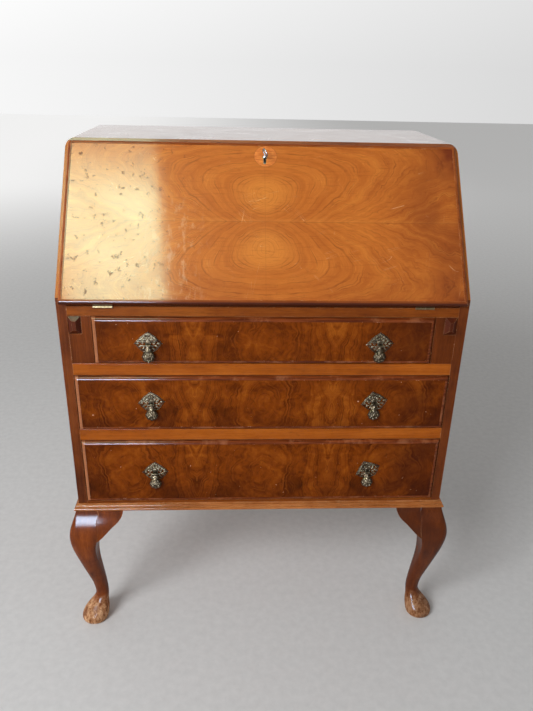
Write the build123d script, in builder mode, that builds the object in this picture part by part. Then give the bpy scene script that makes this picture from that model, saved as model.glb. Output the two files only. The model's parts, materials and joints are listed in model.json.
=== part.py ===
"""Slant-front secretary desk (bureau) on cabriole legs, in millimetres, +Z up.

The case is a walnut box with a slanted upper front. A hinged fall closes the slanted front and
opens to a level writing surface, which rests on two pull-out lopers. Three long drawers lie under
it, and a nest of pigeonholes with two small drawers stands inside. The origin is on the floor,
under the middle of the whole object.
"""

import math
import os

from build123d import *

# ---------------------------------------------------------------- driving dimensions
CASE_WIDTH = 750.0
CASE_DEPTH = 460.0
CASE_BOTTOM = 301.0
KNEE_Z = 760.0  # height where the side boards start to slant back
TOP_Z = 1012.0
SLOPE_DEG = 52.3  # slant of the fall above the horizontal
BOARD = 15.0  # top board
SIDE_BOARD = 18.0
CORNER_RADIUS = 17.0  # rounded corner between side and top
BED_Z = 744.0  # writing level, and the height of the fall's hinge pins
FRONT_Y = -227.0  # the plane of the case front, so that the legs reach equally far both ways

RAIL = 24.0  # height of the rails between drawers
RAIL_DEPTH = 45.0
DRAWER_GAP = 1.0
FRONT_PROUD = 5.0  # moulded fronts stand this far out of the case
DRAWER_DEPTH = 400.0
LOPER_WIDTH = 22.4
LOPER_HEIGHT = 33.4
PULL_X = 214.5
LEG_OVERHANG = 6.0  # the legs' square tops stand this far out of the case

FALL_HALF_WIDTH = 368.0
FALL_THICKNESS = 18.0
LIP = 9.1  # inside of the fall's lip above its inner face
FALL_LENGTH = 322.3  # from the hinge pin to the lip's top edge
TONGUE_LENGTH = 310.4
TONGUE_HALF_WIDTH = 355.5
PIN_FORWARD = 1.5  # the hinge pins stand this far in front of the case
LIPPING = 7.2
OVOLO = 5.0  # rounding of the fall's lipping
DRAWER_OVOLO = 6.8  # rounding of the drawer fronts' border
FIELD_STEP = 0.7

SLOPE = math.radians(SLOPE_DEG)
HALF = CASE_WIDTH / 2
INNER = HALF - SIDE_BOARD
BACK_Y = FRONT_Y + CASE_DEPTH
BACK_PANEL = 6.0
PANEL_Y = BACK_Y - BACK_PANEL
UNDER_TOP = TOP_Z - BOARD
SLANT_TOP_Y = FRONT_Y + (TOP_Z - KNEE_Z) / math.tan(SLOPE)

BOTTOM_TOP = 322.0  # top of the bottom board
RAIL_LOWER_Z = 466.0
RAIL_UPPER_Z = 607.5
TOP_RAIL_Z = 726.0
FACING_INNER = 315.5  # inner edge of the facings beside drawer 1
PARTITION_INNER = 320.0
PARTITION_OUTER = 332.5
LOPER_INNER = 334.0
LOPER_TOP = TOP_RAIL_Z - 0.6

# name: (half width of the opening, bottom, top, height of the pull plates' middle)
DRAWERS = {
    1: (FACING_INNER, RAIL_UPPER_Z + RAIL, TOP_RAIL_Z, 676.5),
    2: (INNER, RAIL_LOWER_Z + RAIL, RAIL_UPPER_Z, 554.0),
    3: (INNER, BOTTOM_TOP, RAIL_LOWER_Z, 396.5),
}

# The fall's own plane: X across, Y up the slope from the hinge pins, Z out of its inner face.
FALL_PLANE = Plane(
    origin=(0, FRONT_Y - PIN_FORWARD, BED_Z),
    x_dir=(1, 0, 0),
    z_dir=(0, -math.sin(SLOPE), math.cos(SLOPE)),
)
HINGE_X = 292.0
HINGE_LENGTH = 34.0
LEAF = 20.0
LEAF_THICKNESS = 1.5
KNUCKLE_RADIUS = 2.5
HINGE_PIN_RADIUS = 1.2

KEY_UP = 291.2  # the key's axis above the pins, along the slope
LOCK_WIDTH = 60.0
LOCK_BOTTOM = 268.0
LOCK_TOP = TONGUE_LENGTH
LOCK_DEEP = 11.0
BOLT_WIDTH = 16.0
BOLT_THICKNESS = 3.0
BOLT_MIDDLE = 5.0  # height of the bolt's middle over the fall's inner face

NEST_FRONT_Y = FRONT_Y + 215.0
NEST_TOP_Z = 944.0
NEST_SHELF_Z = 822.0
NEST_BOARD = 6.0
NEST_HALF = INNER - 1.0
NEST_LOWER_X = 115.0
NEST_UPPER_X = (-236.0, -118.0, 0.0, 118.0, 236.0)

os.makedirs("parts", exist_ok=True)


def write(solid, label):
    """Labels one finished sub-part and writes it as its own STEP file."""
    solid.label = label
    export_step(solid, f"parts/{label}.step")


def gather(label, pieces):
    """Writes several separate solids as one node."""
    write(Compound(label=label, children=list(pieces)), label)


def board(x0, x1, y0, y1, z0, z1, edge=0.0):
    """A plain board between two corners, with its long edges eased by a small radius."""
    with BuildPart() as piece:
        with Locations(((x0 + x1) / 2, (y0 + y1) / 2, (z0 + z1) / 2)):
            Box(x1 - x0, y1 - y0, z1 - z0)
        if edge:
            fillet(piece.edges().filter_by(Axis.X).group_by(Axis.Y)[0], edge)
    return piece.part


def mirrored(solid):
    """The same piece on the other side of the desk."""
    return solid.mirror(Plane.YZ)


# ---------------------------------------------------------------- carcase
def side_board(sign):
    """One side: mitred to the top under the rounded corner, with the slanted front edge."""
    mitre = CORNER_RADIUS * math.sqrt(0.5)
    centre_x, centre_z = HALF - CORNER_RADIUS, TOP_Z - CORNER_RADIUS
    arc_mid = math.radians(22.5)
    with BuildPart() as side:
        with BuildSketch(Plane.XZ.offset(-BACK_Y)):
            with BuildLine():
                Polyline(
                    (sign * (centre_x + mitre), centre_z + mitre),
                    (sign * INNER, UNDER_TOP),
                    (sign * INNER, CASE_BOTTOM),
                    (sign * HALF, CASE_BOTTOM),
                    (sign * HALF, centre_z),
                )
                ThreePointArc(
                    (sign * HALF, centre_z),
                    (
                        sign * (centre_x + CORNER_RADIUS * math.cos(arc_mid)),
                        centre_z + CORNER_RADIUS * math.sin(arc_mid),
                    ),
                    (sign * (centre_x + mitre), centre_z + mitre),
                )
            make_face()
        extrude(amount=CASE_DEPTH)
        with BuildSketch(Plane.YZ):
            with BuildLine():
                Polyline(
                    (FRONT_Y, 0),
                    (FRONT_Y, KNEE_Z),
                    (SLANT_TOP_Y, TOP_Z),
                    (BACK_Y, TOP_Z),
                    (BACK_Y, 0),
                    close=True,
                )
            make_face()
        extrude(amount=HALF, both=True, mode=Mode.INTERSECT)
    return side.part


def top_board():
    """The top, with both rounded ends, the slanted front edge and the lock bolt's pocket."""
    mitre = CORNER_RADIUS * math.sqrt(0.5)
    centre_x, centre_z = HALF - CORNER_RADIUS, TOP_Z - CORNER_RADIUS
    arc_mid = math.radians(67.5)
    bulge_x = centre_x + CORNER_RADIUS * math.cos(arc_mid)
    bulge_z = centre_z + CORNER_RADIUS * math.sin(arc_mid)
    with BuildPart() as top:
        with BuildSketch(Plane.XZ.offset(-BACK_Y)):
            with BuildLine():
                ThreePointArc(
                    (-centre_x - mitre, centre_z + mitre), (-bulge_x, bulge_z), (-centre_x, TOP_Z)
                )
                Line((-centre_x, TOP_Z), (centre_x, TOP_Z))
                ThreePointArc(
                    (centre_x, TOP_Z), (bulge_x, bulge_z), (centre_x + mitre, centre_z + mitre)
                )
                Polyline(
                    (centre_x + mitre, centre_z + mitre),
                    (INNER, UNDER_TOP),
                    (-INNER, UNDER_TOP),
                    (-centre_x - mitre, centre_z + mitre),
                )
            make_face()
        extrude(amount=CASE_DEPTH)
        with BuildSketch(Plane.YZ):
            with BuildLine():
                Polyline(
                    (FRONT_Y, KNEE_Z), (SLANT_TOP_Y, TOP_Z), (BACK_Y, TOP_Z), (BACK_Y, KNEE_Z), close=True
                )
            make_face()
        extrude(amount=HALF, both=True, mode=Mode.INTERSECT)
        with BuildSketch(FALL_PLANE.offset(BOLT_MIDDLE)):
            with Locations((0, TONGUE_LENGTH + 6)):
                Rectangle(BOLT_WIDTH + 2, 14)
        extrude(amount=BOLT_THICKNESS / 2 + 0.6, both=True, mode=Mode.SUBTRACT)
    return top.part


def top_rail():
    """The rail under the fall, cut for the hinge leaves and their knuckles."""
    with BuildPart() as rail:
        with Locations((0, FRONT_Y + 30, BED_Z - 9)):
            Box(2 * INNER, 60, 18)
        for sign in (-1, 1):
            with Locations((sign * HINGE_X, FRONT_Y + LEAF / 2 - 1, BED_Z - LEAF_THICKNESS / 2)):
                Box(HINGE_LENGTH + 0.6, LEAF + 3, LEAF_THICKNESS, mode=Mode.SUBTRACT)
            with Locations((sign * HINGE_X, FRONT_Y - PIN_FORWARD, BED_Z)):
                Cylinder(
                    KNUCKLE_RADIUS + 0.5, HINGE_LENGTH + 0.6, rotation=(0, 90, 0), mode=Mode.SUBTRACT
                )
    return rail.part


def loper_facing(sign):
    """The front board between side and drawer 1, notched for the loper's end."""
    bottom = RAIL_UPPER_Z + RAIL
    notch_x = PARTITION_OUTER + 1.0
    notch_z = LOPER_TOP - LOPER_HEIGHT - 0.8
    with BuildPart() as facing:
        with BuildSketch(Plane.XZ.offset(-FRONT_Y - 18)):
            with BuildLine():
                Polyline(
                    (sign * FACING_INNER, bottom),
                    (sign * INNER, bottom),
                    (sign * INNER, notch_z),
                    (sign * notch_x, notch_z),
                    (sign * notch_x, TOP_RAIL_Z),
                    (sign * FACING_INNER, TOP_RAIL_Z),
                    close=True,
                )
            make_face()
        extrude(amount=18)
    return facing.part


def moulding_profile():
    """Section of the base moulding: a fillet over two beads. X is outwards, Y is up."""
    low = CASE_BOTTOM
    Polyline((0, low), (0, low + 15), (2, low + 15), (2, low + 12.6), (3, low + 12.6))
    ThreePointArc((3, low + 12.6), (5.6, low + 10.4), (4.6, low + 7.4))
    Line((4.6, low + 7.4), (5.4, low + 6.4))
    ThreePointArc((5.4, low + 6.4), (8.7, low + 4.2), (7.6, low + 1.2))
    Polyline((7.6, low + 1.2), (7.0, low), (0, low))


def base_moulding_front():
    """The front length of the moulding, mitred at both ends."""
    with BuildPart() as front:
        with BuildSketch(Plane((0, FRONT_Y, 0), x_dir=(0, -1, 0), z_dir=(-1, 0, 0))):
            with BuildLine():
                moulding_profile()
            make_face()
        extrude(amount=HALF + 12, both=True)
        for sign in (-1, 1):
            split(
                bisect_by=Plane((sign * HALF, FRONT_Y, 0), z_dir=(sign, 1, 0)),
                keep=Keep.BOTTOM,
            )
    return front.part


def base_moulding_side(sign):
    """A side length of the moulding, mitred at the front and square at the back."""
    with BuildPart() as run:
        with BuildSketch(Plane((sign * HALF, BACK_Y, 0), x_dir=(sign, 0, 0), z_dir=(0, -sign, 0))):
            with BuildLine():
                moulding_profile()
            make_face()
        extrude(amount=sign * (CASE_DEPTH + 12))
        split(bisect_by=Plane((sign * HALF, FRONT_Y, 0), z_dir=(sign, 1, 0)), keep=Keep.TOP)
    return run.part


# ---------------------------------------------------------------- legs
# Sections of a leg down from its square top: height, overhang of the two outer faces past the
# top's faces, width, radius of the outer corner, radius of the other corners.
LEG_SECTIONS = (
    (301, 0, 43, 3, 1.5),
    (281, 6.5, 49.5, 7, 1.5),
    (258, 14.4, 57, 12, 2),
    (236, 17.7, 58, 15, 2.5),
    (221, 17.2, 54, 17, 3.5),
    (205, 15, 49.5, 18, 5),
    (175, 8.4, 42.5, 17.5, 9),
    (145, 0.8, 37.8, 16, 13),
    (118, -6, 34, 15.5, 14.6),
    (92, -12.3, 30, 14.5, 14.3),
    (70, -15.4, 28.2, 13.9, 13.7),
    (56, -15.2, 28.4, 14, 13.8),
    (44, -9, 34, 16.7, 16.5),
    (32, 1.5, 45.5, 22.5, 22.3),
    (20, 11, 55, 27.3, 27.1),
    (8, 14.8, 57, 28.2, 28),
    (0, 11, 49.5, 24.5, 24.3),
)
KNEE_OVERHANG = 17.7
LEG_TOP = 43.0


def leg(corner_x, corner_y, sign_x, sign_y):
    """A cabriole leg whose outer corner points along (sign_x, sign_y), ending in a pad foot."""
    with BuildPart() as shape:
        for height, out, width, outer_radius, radius in LEG_SECTIONS:
            with BuildSketch(Plane.XY.offset(height)) as section:
                middle = out - width / 2
                with Locations((middle, middle)):
                    Rectangle(width, width)
                outer = section.vertices().sort_by(Axis((0, 0, 0), (1, 1, 0)))[-1]
                fillet(outer, outer_radius)
                fillet(section.vertices().sort_by(Axis((0, 0, 0), (1, 1, 0)))[:1], radius)
                fillet(
                    [v for v in section.vertices() if abs(v.X - v.Y) > width * 0.999], radius
                )
        loft()
        with BuildSketch(Plane.XY.offset(LEG_SECTIONS[0][0])):
            with Locations((-SCREW_IN, -SCREW_IN)):
                Circle(SCREW_RADIUS)
        extrude(amount=-SCREW_IN_LEG, mode=Mode.SUBTRACT)
    turned = shape.part
    if sign_x < 0:
        turned = turned.mirror(Plane.YZ)
    if sign_y < 0:
        turned = turned.mirror(Plane.XZ)
    return turned.moved(Location((corner_x, corner_y, 0)))


SCREW_RADIUS = 3.0
SCREW_HEAD_RADIUS = 6.0
SCREW_IN_LEG = 42.0
SCREW_IN = 32.5  # in from the leg's outer faces, clear of the side boards
LEG_CORNERS = {
    "front_left": (-HALF - LEG_OVERHANG, FRONT_Y - LEG_OVERHANG, -1, -1),
    "front_right": (HALF + LEG_OVERHANG, FRONT_Y - LEG_OVERHANG, 1, -1),
    "rear_left": (-HALF - LEG_OVERHANG, BACK_Y, -1, 1),
    "rear_right": (HALF + LEG_OVERHANG, BACK_Y, 1, 1),
}


def leg_screw_spot(corner):
    """Where a leg's screw goes: in the part of its top that lies under the bottom board."""
    corner_x, corner_y, sign_x, sign_y = LEG_CORNERS[corner]
    return corner_x - sign_x * SCREW_IN, corner_y - sign_y * SCREW_IN


def bottom_board():
    """The bottom of the case, drilled and countersunk over each leg."""
    with BuildPart() as bottom:
        with Locations((0, (FRONT_Y + PANEL_Y) / 2, (CASE_BOTTOM + BOTTOM_TOP) / 2)):
            Box(2 * INNER, PANEL_Y - FRONT_Y, BOTTOM_TOP - CASE_BOTTOM)
        for corner in LEG_CORNERS:
            x, y = leg_screw_spot(corner)
            with Locations((x, y, BOTTOM_TOP)):
                CounterSinkHole(SCREW_RADIUS + 0.2, SCREW_HEAD_RADIUS + 0.3)
        fillet(bottom.edges().filter_by(Axis.X).sort_by(Axis.Y)[:1], 0.8)
    return bottom.part


def leg_screw(corner):
    """A countersunk wood screw from inside the case into a leg."""
    x, y = leg_screw_spot(corner)
    head = SCREW_HEAD_RADIUS - SCREW_RADIUS
    with BuildPart() as screw:
        with BuildSketch(Plane((x, y, 0), x_dir=(1, 0, 0), z_dir=(0, -1, 0))):
            with BuildLine():
                Polyline(
                    (0, BOTTOM_TOP - 0.3),
                    (SCREW_HEAD_RADIUS, BOTTOM_TOP - 0.3),
                    (SCREW_RADIUS, BOTTOM_TOP - 0.3 - head),
                    (SCREW_RADIUS, CASE_BOTTOM - SCREW_IN_LEG + 4),
                    (0, CASE_BOTTOM - SCREW_IN_LEG + 0.5),
                    close=True,
                )
            make_face()
        revolve(axis=Axis((x, y, 0), (0, 0, 1)))
    return screw.part


EAR_DEPTH = 22.0
EAR_LENGTH = 54.0
EAR_ROOT = 8.0  # it starts this far inside the leg, and is then fitted to the leg's face
EAR_SEAM = 0.15
EAR_END_SWELL = 0.68  # share of the leg's bulge left at the ear's end
EAR_CURVE = ((52.5, 301), (50.5, 289), (42.5, 276.5), (30.4, 265.2), (17.1, 251.3), (8, 241.8), (-8, 229))


def knee_profile(swell):
    """Section of an ear: its outer face bulges by the leg's own front curve times a swell."""
    sections = LEG_SECTIONS[:6]
    Spline(*[(swell * out - EAR_SEAM, height) for height, out, *_ in sections])
    Polyline(
        (swell * sections[5][1] - EAR_SEAM, sections[5][0]),
        (-EAR_DEPTH, sections[5][0]),
        (-EAR_DEPTH, CASE_BOTTOM),
        (-EAR_SEAM, CASE_BOTTOM),
    )


def knee_bracket():
    """The ear that carries a leg's curve along the case: X runs away from the leg's inner face,
    Y is outwards from the leg's top face. Its bulge dies away toward its end."""
    with BuildPart() as ear:
        for along, swell in ((-EAR_ROOT, 1.0), (EAR_LENGTH, EAR_END_SWELL)):
            with BuildSketch(Plane.YZ.offset(along)):
                with BuildLine():
                    knee_profile(swell)
                make_face()
        loft()
        with BuildSketch(Plane.XZ.offset(EAR_DEPTH)):
            with BuildLine():
                Spline(*EAR_CURVE)
                Polyline(EAR_CURVE[-1], (-EAR_ROOT, CASE_BOTTOM), EAR_CURVE[0])
            make_face()
        extrude(amount=-(EAR_DEPTH + KNEE_OVERHANG + 5), mode=Mode.INTERSECT)
    return ear.part


def leg_brackets(corner):
    """The two ears of one leg: one along the front or back, one along the side."""
    corner_x, corner_y, sign_x, sign_y = LEG_CORNERS[corner]
    along = knee_bracket()
    if sign_y < 0:
        along = along.mirror(Plane.XZ)
    if sign_x > 0:
        along = along.mirror(Plane.YZ)
    first = along.moved(Location((corner_x - sign_x * LEG_TOP, corner_y, 0)))
    across = knee_bracket().rotate(Axis.Z, 90)  # X runs along +Y, and outwards is -X
    if sign_x > 0:
        across = across.mirror(Plane.YZ)
    if sign_y > 0:
        across = across.mirror(Plane.XZ)
    second = across.moved(Location((corner_x, corner_y - sign_y * LEG_TOP, 0)))
    post = leg(corner_x, corner_y, sign_x, sign_y)
    return [first - post, second - post]


def glue_block(corner, along_x):
    """A square block glued behind one ear, under the bottom board."""
    corner_x, corner_y, sign_x, sign_y = LEG_CORNERS[corner]
    near, far, side = LEG_TOP + 4, LEG_TOP + 46, 18.0
    inner, outer = EAR_DEPTH + 0.3, EAR_DEPTH + 0.3 + side
    if along_x:
        xs = sorted((corner_x - sign_x * near, corner_x - sign_x * far))
        ys = sorted((corner_y - sign_y * inner, corner_y - sign_y * outer))
    else:
        xs = sorted((corner_x - sign_x * inner, corner_x - sign_x * outer))
        ys = sorted((corner_y - sign_y * near, corner_y - sign_y * far))
    return board(*xs, *ys, CASE_BOTTOM - side, CASE_BOTTOM)


# ---------------------------------------------------------------- fall
def fall_whole():
    """The fall as one board: a tongue between the sides under a moulded lip that covers their
    edges, before it is parted into panel and lippings."""
    with BuildPart() as fall:
        with BuildSketch(FALL_PLANE.offset(LIP)):
            with Locations((0, (1 + FALL_LENGTH) / 2)):
                Rectangle(2 * FALL_HALF_WIDTH, FALL_LENGTH - 1)
        extrude(amount=FALL_THICKNESS - LIP)
        outside = fall.faces().sort_by(Axis((0, 0, 0), FALL_PLANE.z_dir))[-1]
        fillet(outside.edges(), OVOLO)
        with BuildSketch(FALL_PLANE):
            with Locations((0, (1 + TONGUE_LENGTH) / 2)):
                Rectangle(2 * TONGUE_HALF_WIDTH, TONGUE_LENGTH - 1)
        extrude(amount=LIP)
        with BuildSketch(FALL_PLANE.offset(FALL_THICKNESS)):
            with Locations((0, (1 + FALL_LENGTH) / 2)):
                Rectangle(2 * (FALL_HALF_WIDTH - LIPPING), FALL_LENGTH - 1 - 2 * LIPPING)
        extrude(amount=-FIELD_STEP, mode=Mode.SUBTRACT)
        with BuildSketch(FALL_PLANE):
            with Locations((-HINGE_X, LEAF / 2), (HINGE_X, LEAF / 2)):
                Rectangle(HINGE_LENGTH + 0.6, LEAF + 1)
        extrude(amount=LEAF_THICKNESS, mode=Mode.SUBTRACT)
        for sign in (-1, 1):
            with Locations((sign * HINGE_X, FRONT_Y - PIN_FORWARD, BED_Z)):
                Cylinder(
                    KNUCKLE_RADIUS + 0.5, HINGE_LENGTH + 0.6, rotation=(0, 90, 0), mode=Mode.SUBTRACT
                )
        with BuildSketch(FALL_PLANE):
            with Locations((0, (LOCK_BOTTOM + LOCK_TOP) / 2)):
                Rectangle(LOCK_WIDTH, LOCK_TOP - LOCK_BOTTOM + 0.2)
        extrude(amount=LOCK_DEEP, mode=Mode.SUBTRACT)
        with BuildSketch(FALL_PLANE.offset(LOCK_DEEP)):
            keyhole(4.4)
        extrude(amount=FALL_THICKNESS, mode=Mode.SUBTRACT)
    return fall.part


def keyhole(radius):
    """A round hole over a slot, centred on the key's axis, inside a sketch on the fall."""
    with Locations((0, KEY_UP)):
        Circle(radius)
    with Locations((0, KEY_UP - 5.5)):
        Rectangle(radius * 1.3, 11)
    with Locations((0, KEY_UP - 11)):
        Circle(radius * 0.65)


def fall_panel(whole):
    """The veneered board inside the lippings."""
    with BuildPart() as panel:
        add(whole)
        with BuildSketch(FALL_PLANE.offset(-1)):
            with Locations((0, (1 + FALL_LENGTH) / 2)):
                Rectangle(2 * (FALL_HALF_WIDTH - LIPPING), FALL_LENGTH - 1 - 2 * LIPPING)
        extrude(amount=FALL_THICKNESS + 2, mode=Mode.INTERSECT)
    return panel.part


def fall_lipping(whole, place):
    """One moulded strip of the fall's border, mitred to its neighbours."""
    x, low, high, w = FALL_HALF_WIDTH, 1.0, FALL_LENGTH, LIPPING
    outlines = {
        "bottom": ((-x, low), (x, low), (x - w, low + w), (-x + w, low + w)),
        "top": ((-x, high), (-x + w, high - w), (x - w, high - w), (x, high)),
        "left": ((-x, low), (-x + w, low + w), (-x + w, high - w), (-x, high)),
        "right": ((x, low), (x, high), (x - w, high - w), (x - w, low + w)),
    }
    with BuildPart() as strip:
        add(whole)
        with BuildSketch(FALL_PLANE.offset(-1)):
            with BuildLine():
                Polyline(*outlines[place], close=True)
            make_face()
        extrude(amount=FALL_THICKNESS + 2, mode=Mode.INTERSECT)
    return strip.part


def hinge_knuckle(start, end):
    """A stretch of the hinge's barrel with a running bore for its pin."""
    with BuildPart() as barrel:
        with Locations(((start + end) / 2, FRONT_Y - PIN_FORWARD, BED_Z)):
            Cylinder(KNUCKLE_RADIUS, end - start, rotation=(0, 90, 0))
            Cylinder(HINGE_PIN_RADIUS + 0.05, end - start, rotation=(0, 90, 0), mode=Mode.SUBTRACT)
    return barrel.part


def hinge_leaf(middle, on_fall):
    """A hinge leaf with its half of the barrel: the fall has the inner end, the case the outer."""
    half, play = HINGE_LENGTH / 2, 0.15
    toward = -1 if middle > 0 else 1
    ends = sorted((middle + toward * play, middle + toward * half))
    if not on_fall:
        ends = sorted((middle - toward * play, middle - toward * half))
    with BuildPart() as leaf:
        add(hinge_knuckle(*ends))
        if on_fall:
            with BuildSketch(FALL_PLANE):
                with Locations(((ends[0] + ends[1]) / 2, LEAF / 4)):
                    Rectangle(ends[1] - ends[0], LEAF / 2)
                with Locations((middle, LEAF / 2 + 1.8)):
                    Rectangle(HINGE_LENGTH, LEAF - 3.6)
            extrude(amount=LEAF_THICKNESS)
        else:
            with BuildSketch(Plane.XY.offset(BED_Z)):
                with Locations(((ends[0] + ends[1]) / 2, FRONT_Y - PIN_FORWARD + LEAF / 4)):
                    Rectangle(ends[1] - ends[0], LEAF / 2)
                with Locations((middle, FRONT_Y - PIN_FORWARD + LEAF / 2 + 1.8)):
                    Rectangle(HINGE_LENGTH, LEAF - 3.6)
            extrude(amount=-LEAF_THICKNESS)
        with Locations(((ends[0] + ends[1]) / 2, FRONT_Y - PIN_FORWARD, BED_Z)):
            Cylinder(
                HINGE_PIN_RADIUS + 0.05, ends[1] - ends[0] + 1, rotation=(0, 90, 0), mode=Mode.SUBTRACT
            )
    return leaf.part


def hinge_pin(middle):
    """The pin through both leaves of one hinge."""
    with BuildPart() as pin:
        with Locations((middle, FRONT_Y - PIN_FORWARD, BED_Z)):
            Cylinder(HINGE_PIN_RADIUS, HINGE_LENGTH, rotation=(0, 90, 0))
    return pin.part


def lock_case():
    """The lock let into the fall's inner face, hollow for the key's bit and the bolt."""
    with BuildPart() as case:
        with BuildSketch(FALL_PLANE.offset(0.1)):
            with Locations((0, (LOCK_BOTTOM + LOCK_TOP) / 2)):
                Rectangle(LOCK_WIDTH - 0.4, LOCK_TOP - LOCK_BOTTOM - 0.4)
        extrude(amount=LOCK_DEEP - 0.4)
        with BuildSketch(FALL_PLANE.offset(2)):
            with Locations((0, KEY_UP)):
                Circle(9)
        extrude(amount=LOCK_DEEP, mode=Mode.SUBTRACT)
        with BuildSketch(FALL_PLANE.offset(BOLT_MIDDLE)):
            with Locations((0, KEY_UP + 17)):
                Rectangle(BOLT_WIDTH + 0.6, 18)
        extrude(amount=BOLT_THICKNESS / 2 + 0.3, both=True, mode=Mode.SUBTRACT)
    return case.part


def lock_bolt():
    """The bolt, drawn back so that its end is level with the tongue's top edge."""
    with BuildPart() as bolt:
        with BuildSketch(FALL_PLANE.offset(BOLT_MIDDLE)):
            with Locations((0, LOCK_TOP - 5.4)):
                Rectangle(BOLT_WIDTH, 10)
        extrude(amount=BOLT_THICKNESS / 2, both=True)
    return bolt.part


def keyhole_escutcheon():
    """The thin brass lining of the keyhole."""
    with BuildPart() as lining:
        with BuildSketch(FALL_PLANE.offset(FALL_THICKNESS - FIELD_STEP - 4)):
            keyhole(4.2)
        extrude(amount=4.4)
        with BuildSketch(FALL_PLANE.offset(FALL_THICKNESS - FIELD_STEP - 5)):
            keyhole(3.1)
        extrude(amount=8, mode=Mode.SUBTRACT)
    return lining.part


KEY_BOW_TURN = 30.0  # the bow stands turned this far from upright


def fall_key():
    """A small barrel key in the lock: bow, collar, shank and bit."""
    outside = FALL_THICKNESS - FIELD_STEP
    bow_plane = Plane(
        origin=FALL_PLANE.from_local_coords(Vector(0, KEY_UP, outside + 17)),
        x_dir=FALL_PLANE.z_dir,
        z_dir=FALL_PLANE.y_dir * math.sin(math.radians(KEY_BOW_TURN))
        + FALL_PLANE.x_dir * math.cos(math.radians(KEY_BOW_TURN)),
    )
    with BuildPart() as key:
        with BuildSketch(FALL_PLANE.offset(2.4)):
            with Locations((0, KEY_UP)):
                Circle(2.0)
        extrude(amount=outside + 10.6 - 2.4)
        with BuildSketch(FALL_PLANE.offset(outside + 3)):
            with Locations((0, KEY_UP)):
                Circle(3.0)
        extrude(amount=1.6)
        with BuildSketch(FALL_PLANE.offset(3)):
            with Locations((0, KEY_UP - 4)):
                Rectangle(2.0, 7)
        extrude(amount=5)
        with BuildSketch(bow_plane):
            Ellipse(8, 9)
            Ellipse(5, 5.8, mode=Mode.SUBTRACT)
        extrude(amount=1.2, both=True)
    return key.part


def lock_striker():
    """The slotted plate under the top board that the bolt passes through."""
    axis_y = FRONT_Y - PIN_FORWARD + (UNDER_TOP - BED_Z) / math.tan(SLOPE)
    axis_y -= BOLT_MIDDLE / math.sin(SLOPE)
    with BuildPart() as plate:
        with BuildSketch(Plane.XY.offset(UNDER_TOP)):
            with Locations((0, axis_y + 5)):
                Rectangle(44, 16)
            with Locations((0, axis_y)):
                Rectangle(BOLT_WIDTH + 1.6, 5.4, mode=Mode.SUBTRACT)
        extrude(amount=-1.0)
        with BuildSketch(FALL_PLANE.offset(LIP)):
            with Locations((0, 300)):
                Rectangle(60, 120)
        extrude(amount=20, mode=Mode.SUBTRACT)
    return plate.part


# ---------------------------------------------------------------- lopers
def loper_solids(sign):
    """A pull-out support: a plain bar with a bevelled block on its front end."""
    middle = sign * (LOPER_INNER + LOPER_WIDTH / 2)
    z = LOPER_TOP - LOPER_HEIGHT / 2
    proud, bevel = 6.5, 8.0
    with BuildPart() as bar:
        with Locations((middle, FRONT_Y + 190, z)):
            Box(LOPER_WIDTH, 380, LOPER_HEIGHT)
    with BuildPart() as cap:
        with BuildSketch(Plane.XZ.offset(-FRONT_Y)):
            with Locations((middle, z)):
                Rectangle(LOPER_WIDTH, LOPER_HEIGHT)
        with BuildSketch(Plane.XZ.offset(-FRONT_Y + proud)):
            with Locations((middle, z)):
                Rectangle(LOPER_WIDTH - 2 * bevel, LOPER_HEIGHT - 2 * bevel)
        loft(ruled=True)
    return [bar.part, cap.part]


# ---------------------------------------------------------------- drawers
def drawer_front(number):
    """A drawer front with an ovolo border round a slightly sunk field, drilled for its pulls."""
    half, low, high, pull_z = DRAWERS[number]
    bottom, top = low + DRAWER_GAP, high - 1.5
    width, height = 2 * (half - DRAWER_GAP), top - bottom
    middle = (bottom + top) / 2
    with BuildPart() as front:
        with BuildSketch(Plane.XZ.offset(-FRONT_Y - 15)):
            with Locations((0, middle)):
                Rectangle(width, height)
        extrude(amount=15 + FRONT_PROUD)
        fillet(front.faces().sort_by(Axis.Y)[0].edges(), DRAWER_OVOLO)
        with BuildSketch(Plane.XZ.offset(-FRONT_Y + FRONT_PROUD)):
            with Locations((0, middle)):
                Rectangle(width - 2 * LIPPING, height - 2 * LIPPING)
        extrude(amount=-FIELD_STEP, mode=Mode.SUBTRACT)
        with Locations((-PULL_X, FRONT_Y, pull_z), (PULL_X, FRONT_Y, pull_z)):
            Cylinder(2.3, 60, rotation=(90, 0, 0), mode=Mode.SUBTRACT)
    return front.part


def drawer_sizes(number):
    """Half width, bottom and top of a drawer's box."""
    half, low, high, _ = DRAWERS[number]
    return half - 2.5, low + DRAWER_GAP, high - 12


def drawer_box(number):
    """Two sides and a back, let round the thin bottom."""
    half, low, high = drawer_sizes(number)
    start, end = FRONT_Y + 15, FRONT_Y + DRAWER_DEPTH
    return [
        board(-half, -half + 9, start, end, low, high),
        board(half - 9, half, start, end, low, high),
        board(-half + 9, half - 9, end - 9, end, low + 9, high - 4),
    ]


def drawer_bottom(number):
    """The thin bottom between the sides, under the back."""
    half, low, _ = drawer_sizes(number)
    return board(
        -half + 9.1, half - 9.1, FRONT_Y + 15.2, FRONT_Y + DRAWER_DEPTH, low + 5, low + 8.9
    )


PLATE_OUTLINE = ((0, 20), (14, 10), (25, -2), (18, -11), (11, -18))
PLATE_THICKNESS = 1.8
# The plates are loose on their studs, and each has settled at its own angle, in degrees.
PLATE_TURN = {(1, -1): 0, (1, 1): 3, (2, -1): 4, (2, 1): 12, (3, -1): 1.5, (3, 1): 25}
PIVOT_DROP = 4.0  # the pendant's pivot under the plate's middle
PIVOT_PROUD = 6.5  # and out of the drawer's field
BALL_DROP = 22.5  # the ball's middle under the pivot


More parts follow.
